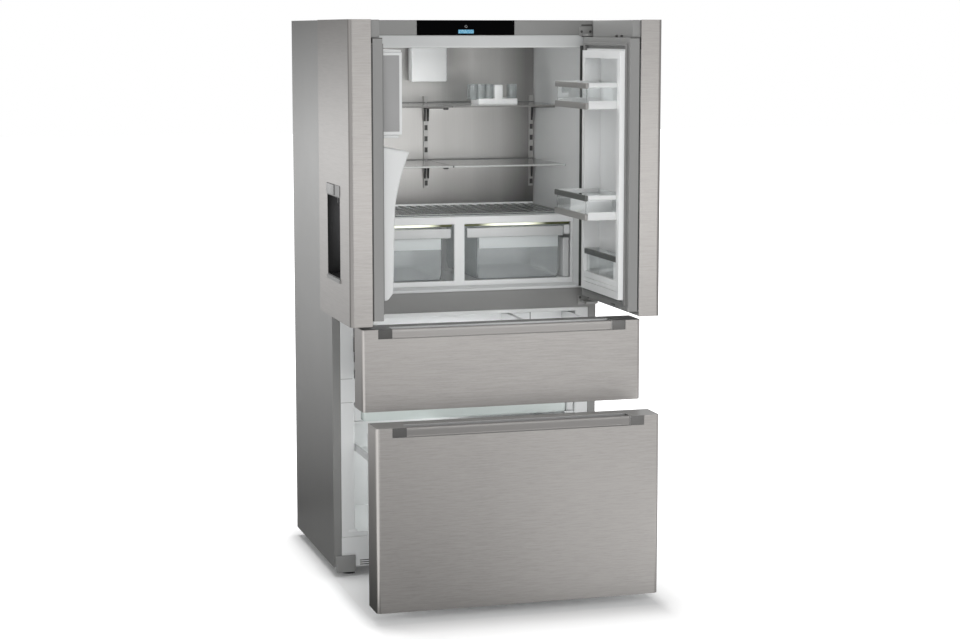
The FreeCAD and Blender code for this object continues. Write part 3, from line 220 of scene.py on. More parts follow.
class Finish:
    """A node material with one principled shader and short names for the nodes it needs."""

    def __init__(self, name, colour, rough, metal=0.0, **sockets):
        self.material = bpy.data.materials.new(name)
        self.material.use_nodes = True
        self.tree = self.material.node_tree
        self.shader = self.tree.nodes["Principled BSDF"]
        self.output = self.tree.nodes["Material Output"]
        self.put("Base Color", (*colour, 1.0))
        self.put("Roughness", rough)
        self.put("Metallic", metal)
        for key, value in sockets.items():
            self.put(key.replace("_", " "), value)

    def feed(self, target, value):
        """Gives an input a value, or links another node's output to it."""
        if isinstance(value, bpy.types.NodeSocket):
            self.tree.links.new(value, target)
        else:
            target.default_value = value

    def put(self, socket, value):
        """Feeds an input of the shader."""
        self.feed(self.shader.inputs[socket], value)

    def node(self, kind, settings=(), **inputs):
        """A new node; inputs are values or other nodes' outputs, by name, or i and the input's number."""
        made = self.tree.nodes.new(kind)
        for key, value in dict(settings).items():
            setattr(made, key, value)
        for key, value in inputs.items():
            self.feed(made.inputs[int(key[1:]) if key[1:].isdigit() else key.replace("_", " ")], value)
        return made

    def noise(self, scale, detail):
        """Noise between 0 and 1 in object coordinates, stretched by the inverse of the scale."""
        where = self.node("ShaderNodeTexCoord").outputs["Object"]
        placed = self.node("ShaderNodeMapping", Vector=where, Scale=scale).outputs[0]
        return self.node("ShaderNodeTexNoise", Vector=placed, Scale=1.0, Detail=detail).outputs[0]

    def span(self, value, low, high, to_low=0.0, to_high=1.0):
        """The value mapped from one range to another, held at the ends."""
        return self.node("ShaderNodeMapRange", Value=value, From_Min=low, From_Max=high,
                         To_Min=to_low, To_Max=to_high).outputs[0]

    def mix(self, factor, a, b):
        """Colour a at 0, colour b at 1."""
        made = self.node("ShaderNodeMix", {"data_type": "RGBA"}, i0=factor)
        for number, value in ((6, a), (7, b)):
            self.feed(made.inputs[number], (*value, 1.0) if isinstance(value, tuple) else value)
        return made.outputs[2]

    def calc(self, operation, a, b=0.0):
        """One or two values under a maths operation."""
        return self.node("ShaderNodeMath", {"operation": operation}, i0=a, i1=b).outputs[0]

    def relief(self, height, strength):
        """Bump from a height of at most 0.2 mm."""
        made = self.node("ShaderNodeBump", Strength=strength, Distance=0.0002, Height=height)
        self.put("Normal", made.outputs[0])

    def facing(self, axis):
        """The surface normal's share along an object axis."""
        normal = self.node("ShaderNodeTexCoord").outputs["Normal"]
        return self.node("ShaderNodeSeparateXYZ", Vector=normal).outputs[axis]

    def at(self, axis):
        """The object coordinate along an axis."""
        where = self.node("ShaderNodeTexCoord").outputs["Object"]
        return self.node("ShaderNodeSeparateXYZ", Vector=where).outputs[axis]


BLACK = (0.0, 0.0, 0.0)


def tint(colour, factor):
    """A colour made lighter or darker."""
    return tuple(min(1.0, c * factor) for c in colour)


def brushed(name, colour, rough, across, contrast=0.06, edge=0.0, corner=1.0):
    """Brushed metal: long thin streaks, fine across one axis, over a soft cloud of tone. Past the edge's
    distance from the middle in x, where the sheet folds back, a painted highlight makes the brushing paler,
    and on the ends that face sideways painted shade grows darker towards the floor. Upright corners, between
    x and y, can be darkened with painted shade."""
    f = Finish(name, colour, rough, 1.0)
    coarse_scale = [13.0] * 3
    fine_scale = [55.0] * 3
    coarse_scale[across] = 330.0
    fine_scale[across] = 1500.0
    coarse = f.span(f.noise(coarse_scale, 3.0), 0.30, 0.70)
    fine = f.span(f.noise(fine_scale, 2.0), 0.30, 0.70)
    cloud = f.noise((2.2, 2.2, 2.2), 2.0)
    tone = f.span(f.calc("ADD", f.calc("ADD", coarse, fine), cloud), 0.7, 1.9)
    sheet = f.mix(tone, tint(colour, 1 - contrast), tint(colour, 1 + contrast))
    if edge:
        # Painted highlight: the brushing is paler past the edge's distance in x, on faces that do not face
        # sideways.
        painted_edge_highlight = f.span(f.calc("ABSOLUTE", f.at(0)), edge, edge + 0.002)
        ahead = f.span(f.calc("ABSOLUTE", f.facing(0)), 0.90, 0.97, 1.0, 0.0)
        sheet = f.mix(f.calc("MULTIPLY", painted_edge_highlight, ahead), sheet, tint(colour, 1.18))
        # Painted shade: the ends that face sideways grow darker towards the floor.
        rise = f.calc("MINIMUM", f.span(f.at(2), 0.05, 0.38, 0.20, 1.0),
                      f.span(f.at(2), 0.60, 0.63, 1.0, 0.5))
        sheet = f.mix(ahead, f.mix(rise, BLACK, tint(colour, 2.0)), sheet)
    if corner != 1.0:
        # Painted shade on upright corners, between x and y.
        askew = f.calc("ABSOLUTE", f.calc("MULTIPLY", f.facing(0), f.facing(1)))
        sheet = f.mix(f.span(askew, 0.12, 0.36), sheet, tint(colour, corner))
    f.put("Base Color", sheet)
    f.put("Roughness", f.span(fine, 0.0, 1.0, rough - 0.04, rough + 0.05))
    f.relief(fine, 0.05)
    return f.material


def satin(name, colour, rough, metal=0.0, grain=700.0, depth=0.08, **sockets):
    """Lacquer or moulded plastic: a fine even grain, with tone and gloss that drift a little."""
    f = Finish(name, colour, rough, metal, **sockets)
    grainy = f.noise((grain,) * 3, 2.0)
    drift = f.noise((3.0,) * 3, 3.0)
    f.put("Base Color", f.mix(drift, tint(colour, 0.96), tint(colour, 1.04)))
    f.put("Roughness", f.span(drift, 0.2, 0.8, rough - 0.05, rough + 0.05))
    f.relief(grainy, depth)
    return f.material


def clear(name, colour, rough, weight, ior=1.45):
    """Clear plastic or glass that lets lamp light through in its shadow."""
    f = Finish(name, colour, rough, 0.0, IOR=ior, Transmission_Weight=weight)
    drift = f.noise((6.0,) * 3, 2.0)
    f.put("Roughness", f.span(drift, 0.2, 0.8, rough, rough + 0.03))
    path = f.node("ShaderNodeLightPath")
    pass_through = f.node("ShaderNodeBsdfTransparent", Color=(0.95, 0.95, 0.95, 1.0))
    swap = f.node("ShaderNodeMixShader", i0=path.outputs["Is Shadow Ray"], i1=f.shader.outputs[0],
                  i2=pass_through.outputs[0])
    f.tree.links.new(swap.outputs[0], f.output.inputs["Surface"])
    return f.material


def top_shaded(name, colour, top_shade):
    """White moulding whose upward faces are painted grey: painted shade along the top of a drawer front's
    core.
    """
    f = Finish(name, colour, 0.36)
    drift = f.noise((3.0,) * 3, 3.0)
    body = f.mix(drift, tint(colour, 0.96), tint(colour, 1.03))
    mask = f.span(f.facing(2), 0.6, 0.8)
    f.put("Base Color", f.mix(mask, body, top_shade))
    f.relief(f.noise((600.0,) * 3, 2.0), 0.06)
    return f.material


def shaded_above_level(name, colour, dark, level):
    """White moulding painted darker above a level: painted shade along its top."""
    f = Finish(name, colour, 0.3)
    drift = f.noise((3.0,) * 3, 3.0)
    body = f.mix(drift, tint(colour, 0.96), tint(colour, 1.04))
    f.put("Base Color", f.mix(f.span(f.at(2), level, level + 0.002), body, dark))
    f.relief(f.noise((600.0,) * 3, 2.0), 0.04)
    return f.material


def rail_and_bracket(name, steel, dark):
    """Shelf supports: steel on the rails at the wall, dark on the brackets before them."""
    f = Finish(name, steel, 0.4, 0.5)
    on_rail = f.span(f.at(1), 0.5143, 0.5147)
    drift = f.noise((5.0,) * 3, 3.0)
    f.put("Base Color", f.mix(on_rail, dark, f.mix(drift, tint(steel, 0.95), tint(steel, 1.05))))
    f.relief(f.noise((800.0,) * 3, 2.0), 0.05)
    return f.material


def drawn_wall(name, colour, rough):
    """Rear wall sheet: very faint upright streaks, even enough to blur what it mirrors; with painted light
    and shade it is palest right of the middle, darker towards both sides, near the filter's box and towards
    the crispers' cover."""
    f = Finish(name, colour, rough, 1.0)
    streak = f.span(f.noise((420.0, 420.0, 3.0), 2.0), 0.35, 0.65)
    cloud = f.noise((1.5,) * 3, 1.0)
    drawn = f.mix(streak, tint(colour, 1.28), tint(colour, 1.32))
    # Painted shade: darker towards both sides, a painted shadow beside the filter's box, and darker towards
    # the crispers' cover.
    across = f.calc("MINIMUM", f.span(f.at(0), 0.07, 0.17, 0.76, 1.0), f.span(f.at(0), 0.27, 0.37, 1.0, 0.50))
    corner = f.calc("MAXIMUM", f.span(f.at(0), 0.10, 0.17), f.span(f.at(2), 1.60, 1.68, 1.0, 0.0))
    across = f.calc("MULTIPLY", across, f.span(corner, 0.0, 1.0, 0.70, 1.0))
    shade = f.calc("MULTIPLY", across, f.span(f.at(2), 1.19, 1.31, 0.56, 1.0))
    f.put("Base Color", f.mix(shade, BLACK, drawn))
    f.put("Roughness", f.span(cloud, 0.3, 0.7, rough - 0.02, rough + 0.02))
    return f.material


def niche_shade(name, dark, pale):
    """Dispenser niche: black plastic with painted light that makes it paler towards its floor at the back and
    towards its top.
    """
    f = Finish(name, dark, 0.35)
    deep = f.span(f.at(0), -0.497, -0.455)
    tall = f.span(f.at(2), 1.04, 1.22, 0.2, 1.0)
    f.put("Base Color", f.mix(f.calc("MULTIPLY", deep, tall), dark, pale))
    f.relief(f.noise((500.0,) * 3, 2.0), 0.05)
    return f.material


def dispenser_head(name, bright, dark):
    """Dispenser head: brushed metal above, a black spout below it."""
    f = Finish(name, bright, 0.32, 0.8)
    above = f.span(f.at(2), 1.2872, 1.2882)
    streak = f.noise((40.0, 40.0, 900.0), 2.0)
    f.put("Base Color", f.mix(above, dark, f.mix(streak, tint(bright, 0.95), tint(bright, 1.05))))
    f.put("Metallic", f.span(above, 0.0, 1.0, 0.0, 0.8))
    return f.material


def lamp_strip(name):
    """Light strips over the crispers: bright lengths that end in an olive shade."""
    f = Finish(name, (0.30, 0.31, 0.16), 0.4)
    x = f.at(0)
    left = f.span(x, -0.12, -0.06, 1.0, 0.0)
    right = f.calc("MULTIPLY", f.span(x, 0.07, 0.13), f.span(x, 0.24, 0.31, 1.0, 0.0))
    lit = f.calc("MAXIMUM", left, right)
    f.put("Base Color", f.mix(lit, (0.12, 0.13, 0.05), (0.85, 0.87, 0.70)))
    f.put("Emission Color", (0.97, 1.0, 0.80, 1.0))
    f.put("Emission Strength", f.span(lit, 0.0, 1.0, 0.0, 0.95))
    return f.material


def lit_field(name):
    """The lit part of the display: pale bars on a blue ground."""
    f = Finish(name, (0.01, 0.02, 0.03), 0.2)
    bars = f.span(f.noise((420.0, 1.0, 160.0), 1.0), 0.50, 0.56)
    f.put("Emission Color", f.mix(bars, (0.07, 0.36, 0.60), (0.30, 0.62, 0.80)))
    f.put("Emission Strength", 0.75)
    return f.material


STEEL = (0.335, 0.322, 0.311)
# front_steel: painted shade on upright corners. drawer_steel: painted edge highlight, and painted shade on
# its sideways ends.
front_steel = brushed("front_steel", STEEL, 0.34, 2, 0.08, corner=0.62)
drawer_steel = brushed("drawer_steel", STEEL, 0.34, 2, 0.09, 0.4475)
# The grip bars' steel is darker than the fronts' steel. This is painted shade, stronger on the lower drawer's
# bar than on the upper one's.
grip_steel = brushed("grip_steel", (0.215, 0.209, 0.203), 0.36, 2, 0.04)
pale_grip_steel = brushed("pale_grip_steel", (0.285, 0.276, 0.268), 0.36, 2, 0.04)
wall_steel = drawn_wall("rear_wall_steel", (0.485, 0.477, 0.465), 0.37)
side_lacquer = satin("side_lacquer", (0.30, 0.30, 0.295), 0.36, 0.6, 900.0, 0.04)
frame_grey = satin("frame_grey", (0.26, 0.26, 0.255), 0.45, 0.2, 800.0, 0.05)
edge_grey = satin("door_edge_grey", (0.262, 0.262, 0.258), 0.5)
dark_grey = satin("dark_grey_plastic", (0.065, 0.064, 0.062), 0.45)
rail_dark = satin("rack_rail_dark", (0.085, 0.09, 0.086), 0.4, 0.2)
rail_grey = satin("rack_rail_grey", (0.27, 0.265, 0.255), 0.4, 0.3)
end_grey = satin("grip_end_grey", (0.135, 0.133, 0.130), 0.4, 0.3)
panel_grey = satin("ice_box_panel_grey", (0.33, 0.33, 0.33), 0.4)
tray_grey = satin("drip_tray_grey", (0.25, 0.25, 0.246), 0.4)
support_steel = rail_and_bracket("shelf_support", (0.44, 0.435, 0.425), (0.03, 0.03, 0.03))
liner_white = satin("liner_white", (0.76, 0.77, 0.77), 0.35, 0.0, 500.0, 0.05)
room_white = satin("room_white", (0.70, 0.71, 0.71), 0.35, 0.0, 500.0, 0.05)
bright_white = satin("bright_white", (0.92, 0.925, 0.925), 0.3, 0.0, 600.0, 0.04)
trim_white = satin("trim_white", (0.82, 0.83, 0.83), 0.3, 0.0, 600.0, 0.04)
shelf_trim = satin("shelf_trim", (0.60, 0.61, 0.60), 0.3, 0.2, 600.0, 0.04)
milky = satin("milky_handle", (0.63, 0.64, 0.64), 0.25, 0.0, 600.0, 0.03)
seal_grey = satin("drawer_seal_grey", (0.14, 0.14, 0.138), 0.6, 0.0, 400.0, 0.2)
door_seal_grey = satin("door_seal_grey", (0.21, 0.21, 0.207), 0.6, 0.0, 400.0, 0.2)
black_glass = satin("display_black", (0.0012, 0.0012, 0.0014), 0.2, 0.0, 300.0, 0.0, Specular_IOR_Level=0.015)
display_blue = lit_field("display_lit")
lamp_white = lamp_strip("crisper_lamp")
shelf_glass = clear("shelf_glass", (0.95, 0.975, 0.965), 0.02, 1.0, 1.48)
cover_glass = clear("crisper_cover_glass", (0.46, 0.50, 0.50), 0.12, 0.75, 1.48)
crisper_clear = clear("crisper_clear", (0.94, 0.965, 0.97), 0.10, 0.88)
rack_clear = clear("rack_clear", (0.97, 0.985, 0.985), 0.01, 1.0, 1.35)
smoke = clear("egg_cup_smoke", (0.64, 0.67, 0.67), 0.08, 0.80, 1.35)
frosted = clear("crisper_frosted", (0.88, 0.91, 0.91), 0.35, 0.55, 1.35)
tray_clear = clear("tray_clear", (0.78, 0.84, 0.82), 0.12, 0.22)
head_chrome = dispenser_head("head_chrome", (0.150, 0.150, 0.148), (0.012, 0.012, 0.012))
cover_chrome = brushed("cover_chrome", (0.21, 0.21, 0.208), 0.30, 2, 0.03)
niche_black = niche_shade("niche_black", (0.012, 0.012, 0.012), (0.20, 0.20, 0.205))
hinge_grey = satin("hinge_grey", (0.34, 0.34, 0.335), 0.4, 0.4)
back_trim_grey = satin("shelf_back_trim", (0.20, 0.20, 0.197), 0.4)
zinc = satin("zinc_plate", (0.62, 0.63, 0.63), 0.40, 0.4, 300.0, 0.1)
black_enamel = satin("black_enamel", (0.012, 0.012, 0.012), 0.35, 0.0, 500.0, 0.1)
fin_alu = brushed("fin_aluminium", (0.62, 0.63, 0.64), 0.36, 2, 0.05)
brass = satin("brass_fitting", (0.60, 0.45, 0.20), 0.32, 1.0, 500.0, 0.05)
foam = satin("insulation_foam", (0.78, 0.72, 0.55), 0.85, 0.0, 260.0, 0.6)
# Painted shade along the top of the right door's liner and, fainter, along the top of the fridge's liner.
door_liner_white = shaded_above_level("door_liner_white", (0.82, 0.83, 0.83), (0.13, 0.13, 0.128), 1.7375)
# The cores' tops are painted shade, darker on the upper drawer's core than on the lower one's.
core_white = top_shaded("upper_core_white", (0.76, 0.77, 0.77), (0.12, 0.117, 0.113))
lower_core_white = top_shaded("lower_core_white", (0.76, 0.77, 0.77), (0.19, 0.186, 0.180))
liner_room = shaded_above_level("fridge_liner_white", (0.70, 0.71, 0.71), (0.60, 0.61, 0.61), 1.744)

NODE_FINISH = {
    front_steel: ["left_door_panel", "right_door_panel", "upper_drawer_grip", "lower_drawer_grip"],
    drawer_steel: ["upper_drawer_panel", "lower_drawer_panel"],
    wall_steel: ["rear_wall_panel"],
    side_lacquer: ["cabinet_shell"],
    frame_grey: ["front_frame"],
    edge_grey: ["left_door_frame", "right_door_frame", "foot_covers", "evaporator_fan"],
    tray_grey: ["drip_tray"],
    hinge_grey: ["hinge_brackets"],
    support_steel: ["shelf_supports"],
    liner_room: ["fridge_liner"],
    room_white: ["dispenser_housing", "ice_maker_box"],
    door_liner_white: ["right_door_liner"],
    liner_white: ["freezer_liner", "plinth", "evaporator_cover",
                  "upper_drawer_box", "lower_drawer_box", "left_door_liner"],
    trim_white: ["crisper_frame", "air_filter_box", "egg_tray", "ice_tray"],
    core_white: ["upper_drawer_core"],
    lower_core_white: ["lower_drawer_core"],
    seal_grey: ["left_door_gasket", "right_door_gasket", "upper_drawer_gasket", "lower_drawer_gasket"],
    black_glass: ["display_glass"],
    shelf_glass: ["glass_shelves"],
    cover_glass: ["crisper_cover_glass"],
    crisper_clear: ["left_crisper", "right_crisper", "ice_bin"],
    rack_clear: ["upper_rack", "middle_rack", "lower_rack"],
    tray_clear: ["freezer_tray"],
    head_chrome: ["dispenser_bezel"],
    niche_black: ["dispenser_recess", "dispenser_paddle"],
    zinc: ["back_panels", "base_plate", "runner_outer_members", "upper_runner_middle",
           "lower_runner_middle"],
    black_enamel: ["levelling_feet", "condenser", "compressor"],
    fin_alu: ["evaporator"],
    brass: ["water_valve"],
    foam: ["insulation_foam"],
}
for finish, names in NODE_FINISH.items():
    for name in names:
        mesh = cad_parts[name].data
        mesh.materials.clear()
        mesh.materials.append(finish)

# Rounded edges on the nodes that stay: width in metres
EDGE_ROUND = {
    0.0006: ["left_door_panel", "right_door_panel", "upper_drawer_panel", "lower_drawer_panel",
             "cabinet_shell", "display_glass", "back_panels"],
    0.0015: ["left_door_frame", "right_door_frame", "front_frame", "plinth", "dispenser_bezel", "drip_tray",
             "hinge_brackets", "upper_drawer_box", "lower_drawer_box", "ice_maker_box"],
    0.002: ["left_door_liner", "right_door_liner"],
    0.003: ["fridge_liner", "freezer_liner", "crisper_frame", "upper_drawer_core", "lower_drawer_core"],
    0.006: ["dispenser_housing"],
}
for width, names in EDGE_ROUND.items():
    for name in names:
        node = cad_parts[name]
        node.modifiers.new("weld", "WELD").merge_threshold = NODE_WELD
        round_edges(node, width, NODE_SHARP)


# Control strip
piece("display_field", rounded_block((-0.026, -0.0026, 1.787), (0.026, -0.0018, 1.799), 0.0003, 2),
      display_blue, "cabinet")
piece("display_mark", turned([(0.0028, -0.0003), (0.0040, -0.0003), (0.0040, 0.0005), (0.0028, 0.0005),
                              (0.0028, -0.0003)], (0.0, -0.0022, 1.8095), 1, 28),
      panel_grey, "cabinet")

# Back wall and shelves
piece("filter_cover", several(rounded_block((-0.0635, 0.463, 1.6195), (0.0635, 0.480, 1.7385), 0.005),
                              rounded_block((-0.0615, 0.4805, 1.6215), (0.0615, 0.523, 1.7365), 0.004)),
      bright_white, "cabinet", replaces=("air_filter_box",))
SHELF_TOPS = (1.546, 1.345)
# The upper shelf's front trim is grey as painted shade, and the lower one is pale as a painted highlight.
for level, top, edge in zip(("upper", "lower"), SHELF_TOPS, (rail_grey, shelf_trim)):
    piece(level + "_shelf_front_trim",
          both_sides(rounded_block((0.003, 0.1485, top - 0.0052), (0.395, 0.1560, top + 0.0008), 0.0025)),
          edge, "cabinet")
    piece(level + "_shelf_back_trim",
          both_sides(rounded_block((0.003, 0.509, top - 0.0055), (0.395, 0.5146, top + 0.0022), 0.0012)),
          back_trim_grey, "cabinet")
RAIL_SLOTS = (1.468, 1.429, 1.390, 1.273)
RAILS = (0.0, -0.388, 0.388)
slots = [rounded_block((x - 0.0055, 0.5146, z - 0.0185), (x + 0.0055, 0.5151, z - 0.001), 0.0002, 2)
         for x in RAILS for z in RAIL_SLOTS]
piece("rail_slot_shades", several(*slots), dark_grey, "cabinet")
tips = [rounded_block((-0.009, 0.244, top - 0.0165), (0.009, 0.2545, top - 0.0060), 0.003, 3)
        for top in SHELF_TOPS]
piece("bracket_tips", several(*tips), dark_grey, "cabinet")

# Egg tray
piece("egg_tray_base", several(rounded_block((0.124, 0.272, 1.546), (0.262, 0.376, 1.566), 0.004),
                               rounded_block((0.181, 0.2722, 1.550), (0.209, 0.2958, 1.612), 0.003)),
      bright_white, "cabinet", replaces=("egg_tray",))
EGG_CUP = [(0.002, 1.5625), (0.0, 1.567), (0.0, 1.614), (0.0015, 1.614), (0.0015, 1.568), (0.0035, 1.5645)]
cups = [tray((x, 0.273), (x + 0.0275, 0.318), 0.008, EGG_CUP) for x in (0.0925, 0.1215, 0.1505, 0.2335)]
piece("egg_tray_cups", several(*cups), smoke, "cabinet")

# Crispers, their light strips and the ribbed cover
CRISPER_ROWS = [(0.006, 0.9655), (0.0, 0.985), (0.0, 1.1405), (0.0026, 1.1405), (0.0026, 0.9875),
                (0.009, 0.9685)]
for name, box, grip in (("left_crisper", (-0.345, -0.054), (-0.345, -0.028)),
                        ("right_crisper", (0.066, 0.357), (0.028, 0.366))):
    piece(name + "_shell", tray((box[0], 0.0955), (box[1], 0.499), 0.014, CRISPER_ROWS),
          crisper_clear, name, replaces=(name,))
    piece(name + "_handle", rounded_block((grip[0], 0.0855, 1.108), (grip[1], 0.0965, 1.1405), 0.003),
          milky, name)
    band = rounded_block((box[0] + 0.006, 0.0935, 1.070), (box[1] - 0.006, 0.0953, 1.1078), 0.0008, 2)
    piece(name + "_front_band", band, frosted, name)
piece("crisper_guides", several(rounded_block((0.3685, 0.0925, 0.9655), (0.3912, 0.460, 1.100), 0.004),
                                rounded_block((-0.3912, 0.0925, 0.9655), (-0.350, 0.460, 1.100), 0.004)),
      milky, "cabinet")
piece("crisper_clip", rounded_block((0.3685, 0.0790, 1.1130), (0.3885, 0.0922, 1.1450), 0.004),
      trim_white, "cabinet")
piece("crisper_lamps", both_sides(rounded_block((0.022, 0.0935, 1.1462), (0.391, 0.1035, 1.1549), 0.003)),
      lamp_white, "cabinet")
RIB_PITCH = 0.032
RIBS_PER_SIDE = 12
ribs = [rounded_block((x - 0.007, 0.150, 1.1829), (x + 0.007, 0.512, 1.1843), 0.0006, 2)
        for x in RIB_PITCH * np.arange(-RIBS_PER_SIDE, RIBS_PER_SIDE + 1)]
piece("cover_glass_ribs", several(*ribs), back_trim_grey, "cabinet")
piece("cover_front_trim", rounded_block((-0.3955, 0.1425, 1.1826), (0.3955, 0.1500, 1.1846), 0.0008, 2),
      shelf_trim, "cabinet")
piece("cover_rear_trim", rounded_block((-0.3955, 0.5140, 1.1826), (0.3955, 0.5225, 1.1900), 0.002, 2),
      bright_white, "cabinet")


def rack(name, low, high, front, top_bar, low_bar):
    """A door rack: clear vessel, bars along its front, milky bands at its ends and a milky floor."""
    x0, x1, back = -0.3677, -0.0563, -0.0377
    rows = [(0.004, low + 0.002), (0.0, low + 0.020), (0.0, high - 0.002), (0.0022, high - 0.002),
            (0.0022, low + 0.020), (0.006, low + 0.0045)]
    shell = tray((x0 + 0.003, back + 0.002), (x1 - 0.003, front - 0.006), 0.010, rows)
    piece(name + "_shell", right_open(shell), rack_clear, "right_door", replaces=(name,))
    for place, z0, z1, bar in (("top", high - 0.018, high, top_bar), ("low", low, low + 0.020, low_bar)):
        rail = rounded_block((x0 + 0.002, front - 0.010, z0), (x1, front, z1), 0.0025)
        piece(name + "_" + place + "_bar", right_open(rail), bar, "right_door")
    ends = [rounded_block((x, back, z0), (x + 0.006, front - 0.0102, z1), 0.002)
            for x in (x0, x1 - 0.006) for z0, z1 in ((high - 0.015, high), (low, low + 0.026))]
    floor = rounded_block((x0 + 0.0062, back, low), (x1 - 0.0062, front - 0.0102, low + 0.0018), 0.0008, 2)
    piece(name + "_bands", right_open(several(*ends, floor)), milky, "right_door")


rack("upper_rack", 1.552, 1.634, 0.120, rail_grey, rail_grey)
rack("middle_rack", 1.203, 1.282, 0.120, rail_dark, rail_grey)
rack("lower_rack", 0.990, 1.085, 0.015, rail_dark, trim_white)
piece("rack_fittings", right_open(several(
    rounded_block((-0.3676, -0.0376, 0.9752), (-0.0564, 0.0148, 0.9898), 0.003),
    rounded_block((-0.098, 0.0052, 1.0102), (-0.060, 0.0088, 1.0670), 0.0015),
    rounded_block((-0.2310, -0.030, 1.208), (-0.2275, 0.1085, 1.262), 0.0015))),
    trim_white, "right_door")

# Ice maker's box and the dispenser's cover plate on the left door
for name, shape, finish, slot in (
        ("ice_box_panel", rounded_block((-0.0354, -0.0045, 1.492), (-0.0338, 0.0515, 1.722), 0.0006, 2),
         panel_grey, "grey_plastic"),
        ("ice_box_lid", rounded_block((-0.385, -0.0078, 1.7312), (-0.035, 0.058, 1.7385), 0.002),
         milky, "white_plastic"),
        ("ice_box_lip", rounded_block((-0.385, -0.0078, 1.4725), (-0.035, 0.050, 1.4818), 0.003),
         milky, "white_plastic"),
        ("dispenser_cover", rounded_block((-0.3205, -0.1166, 1.2888), (-0.212, -0.1146, 1.3215), 0.0009, 3),
         cover_chrome, "chrome_trim")):
    piece(name, left_open(shape), finish, "left_door")


def drawer_grip(name, top, travel, steel, behind):
    """A drawer's grip: a steel bar across the notch, bowed back by a fourth power of the height above its
    middle and flared forward at its foot by a power of 1.5, dark end pieces flush with the front, the left
    one darker with painted shade, and a lining in the finger cavity, dark with painted shade but for the wall
    behind the bar."""
    face = DOOR_FACE
    t = np.linspace(-1, 1, 33)
    out = face + 0.004 + 0.0015 * t.clip(0, 1) ** 4 - 0.0014 * ((-t - 0.72) / 0.28).clip(0, 1) ** 1.5
    bowed = np.stack([out, top - 0.01515 + 0.01455 * t], -1)
    rear = [(face + 0.016, top - 0.0006), (face + 0.016, top - 0.0297)]
    bar = along(np.concatenate([bowed, rear]), 0, -0.3589, 0.3589)
    piece(name + "_grip_bar", pulled(bar, travel), steel, name,
          replaces=(name + "_grip",), bevel=0.0005)
    left_end = rounded_block((-0.4037, face + 0.0001, top - 0.0297), (-0.3591, face + 0.0016, top), 0.0006, 3)
    right_end = rounded_block((0.3591, face + 0.0001, top - 0.0297), (0.4037, face + 0.0016, top), 0.0006, 3)
    piece(name + "_grip_right_end", pulled(right_end, travel), end_grey, name)
    inside, back, floor = 0.3588, face + 0.0515, top - 0.0548
    wall = rounded_block((-inside, face + 0.0503, floor), (inside, back, top - 0.0003), 0.0004, 2)
    piece(name + "_grip_wall", pulled(wall, travel), behind, name)
    cheek = rounded_block((0.3586, face + 0.0168, floor), (0.3589, face + 0.0500, top - 0.0005), 0.0001, 2)
    lining = several(rounded_block((-inside, face + 0.0018, floor - 0.001), (inside, back, floor), 0.0004, 2),
                     both_sides(cheek))
    # The left end piece and the finger cavity's lining are dark grey: painted shade.
    piece(name + "_grip_ends", pulled(several(left_end, lining), travel), dark_grey, name)


# The wall behind the bar has its own tone on each drawer, milky on the upper and grey on the lower: painted
# light and shade.
drawer_grip("upper_drawer", 0.8845, UPPER_OUT, pale_grip_steel, milky)
piece("upper_box_seam", rounded_block((0.2535, 0.0993, 0.700), (0.2560, 0.1004, 0.8525), 0.0003, 2),
      end_grey, "upper_drawer")
drawer_grip("lower_drawer", 0.608, LOWER_OUT, grip_steel, panel_grey)

# Seals: a bellows profile round each door and drawer
SEAL = [(-0.0045, -0.0080), (-0.0045, -0.0064), (-0.0030, -0.0052), (-0.0045, -0.0038), (-0.0034, -0.0005),
        (0.0034, -0.0005), (0.0045, -0.0038), (0.0030, -0.0052), (0.0045, -0.0064), (0.0045, -0.0080)]
door_seal = ring_sweep((-0.4215, 0.938), (-0.0275, 1.7535), SEAL)
upper_seal = pulled(ring_sweep((-0.4225, 0.6465), (0.4225, 0.867), SEAL), UPPER_OUT)
lower_seal = pulled(ring_sweep((-0.4225, 0.1425), (0.4225, 0.6005), SEAL), LOWER_OUT)
for name, seal, rubber in (("left_door", left_open(door_seal), door_seal_grey),
                           ("right_door", right_open(door_seal), door_seal_grey),
                           ("upper_drawer", upper_seal, seal_grey),
                           ("lower_drawer", lower_seal, seal_grey)):
    piece(name + "_seal", seal, rubber, name, replaces=(name + "_gasket",))

# The mouth's painted shade strips, the doors' painted gap shades, fittings and tops, and what is at the
# hinges
# Dark strips down the edges of the fridge's mouth: painted shade.
mouth_shade_strip = rounded_block((0.3935, -0.0012, 0.9445), (0.4065, -0.0001, 1.7470), 0.0005, 2)
piece("mouth_shade_strips", both_sides(mouth_shade_strip), rail_dark, "cabinet")
# Dark strips in the gaps between each door's skin and its frame: painted shade, darker on the right door.
gap_shade = several(*[rounded_block((x, -0.0428, 0.9175), (x + 0.003, -0.0382, 1.7560), 0.0006, 2)
                   for x in (-0.0083, -0.4522)])
pegs = several(*[rounded_block((x - 0.004, -0.0158, 1.7752), (x + 0.004, -0.0085, 1.7825), 0.0015, 3)
                 for x in (-0.147, -0.100)])
slot = several(rounded_block((-0.168, -0.0081, 0.9205), (-0.126, -0.0075, 0.9265), 0.0002, 2),
               rounded_block((-0.0039, -0.0378, 1.7722), (-0.0033, -0.0082, 1.7748), 0.0002, 2))
door_top = rounded_block((-0.380, -0.0428, 1.7753), (-0.0088, -0.0160, 1.8290), 0.0015, 3)
for side, opened, gap_tone in (("left", left_open, dark_grey), ("right", right_open, black_enamel)):
    piece(side + "_door_gap_shades", opened(gap_shade), gap_tone, side + "_door")
    piece(side + "_door_fittings", opened(several(pegs, slot)), dark_grey, side + "_door")
    piece(side + "_door_top", opened(door_top), edge_grey, side + "_door")
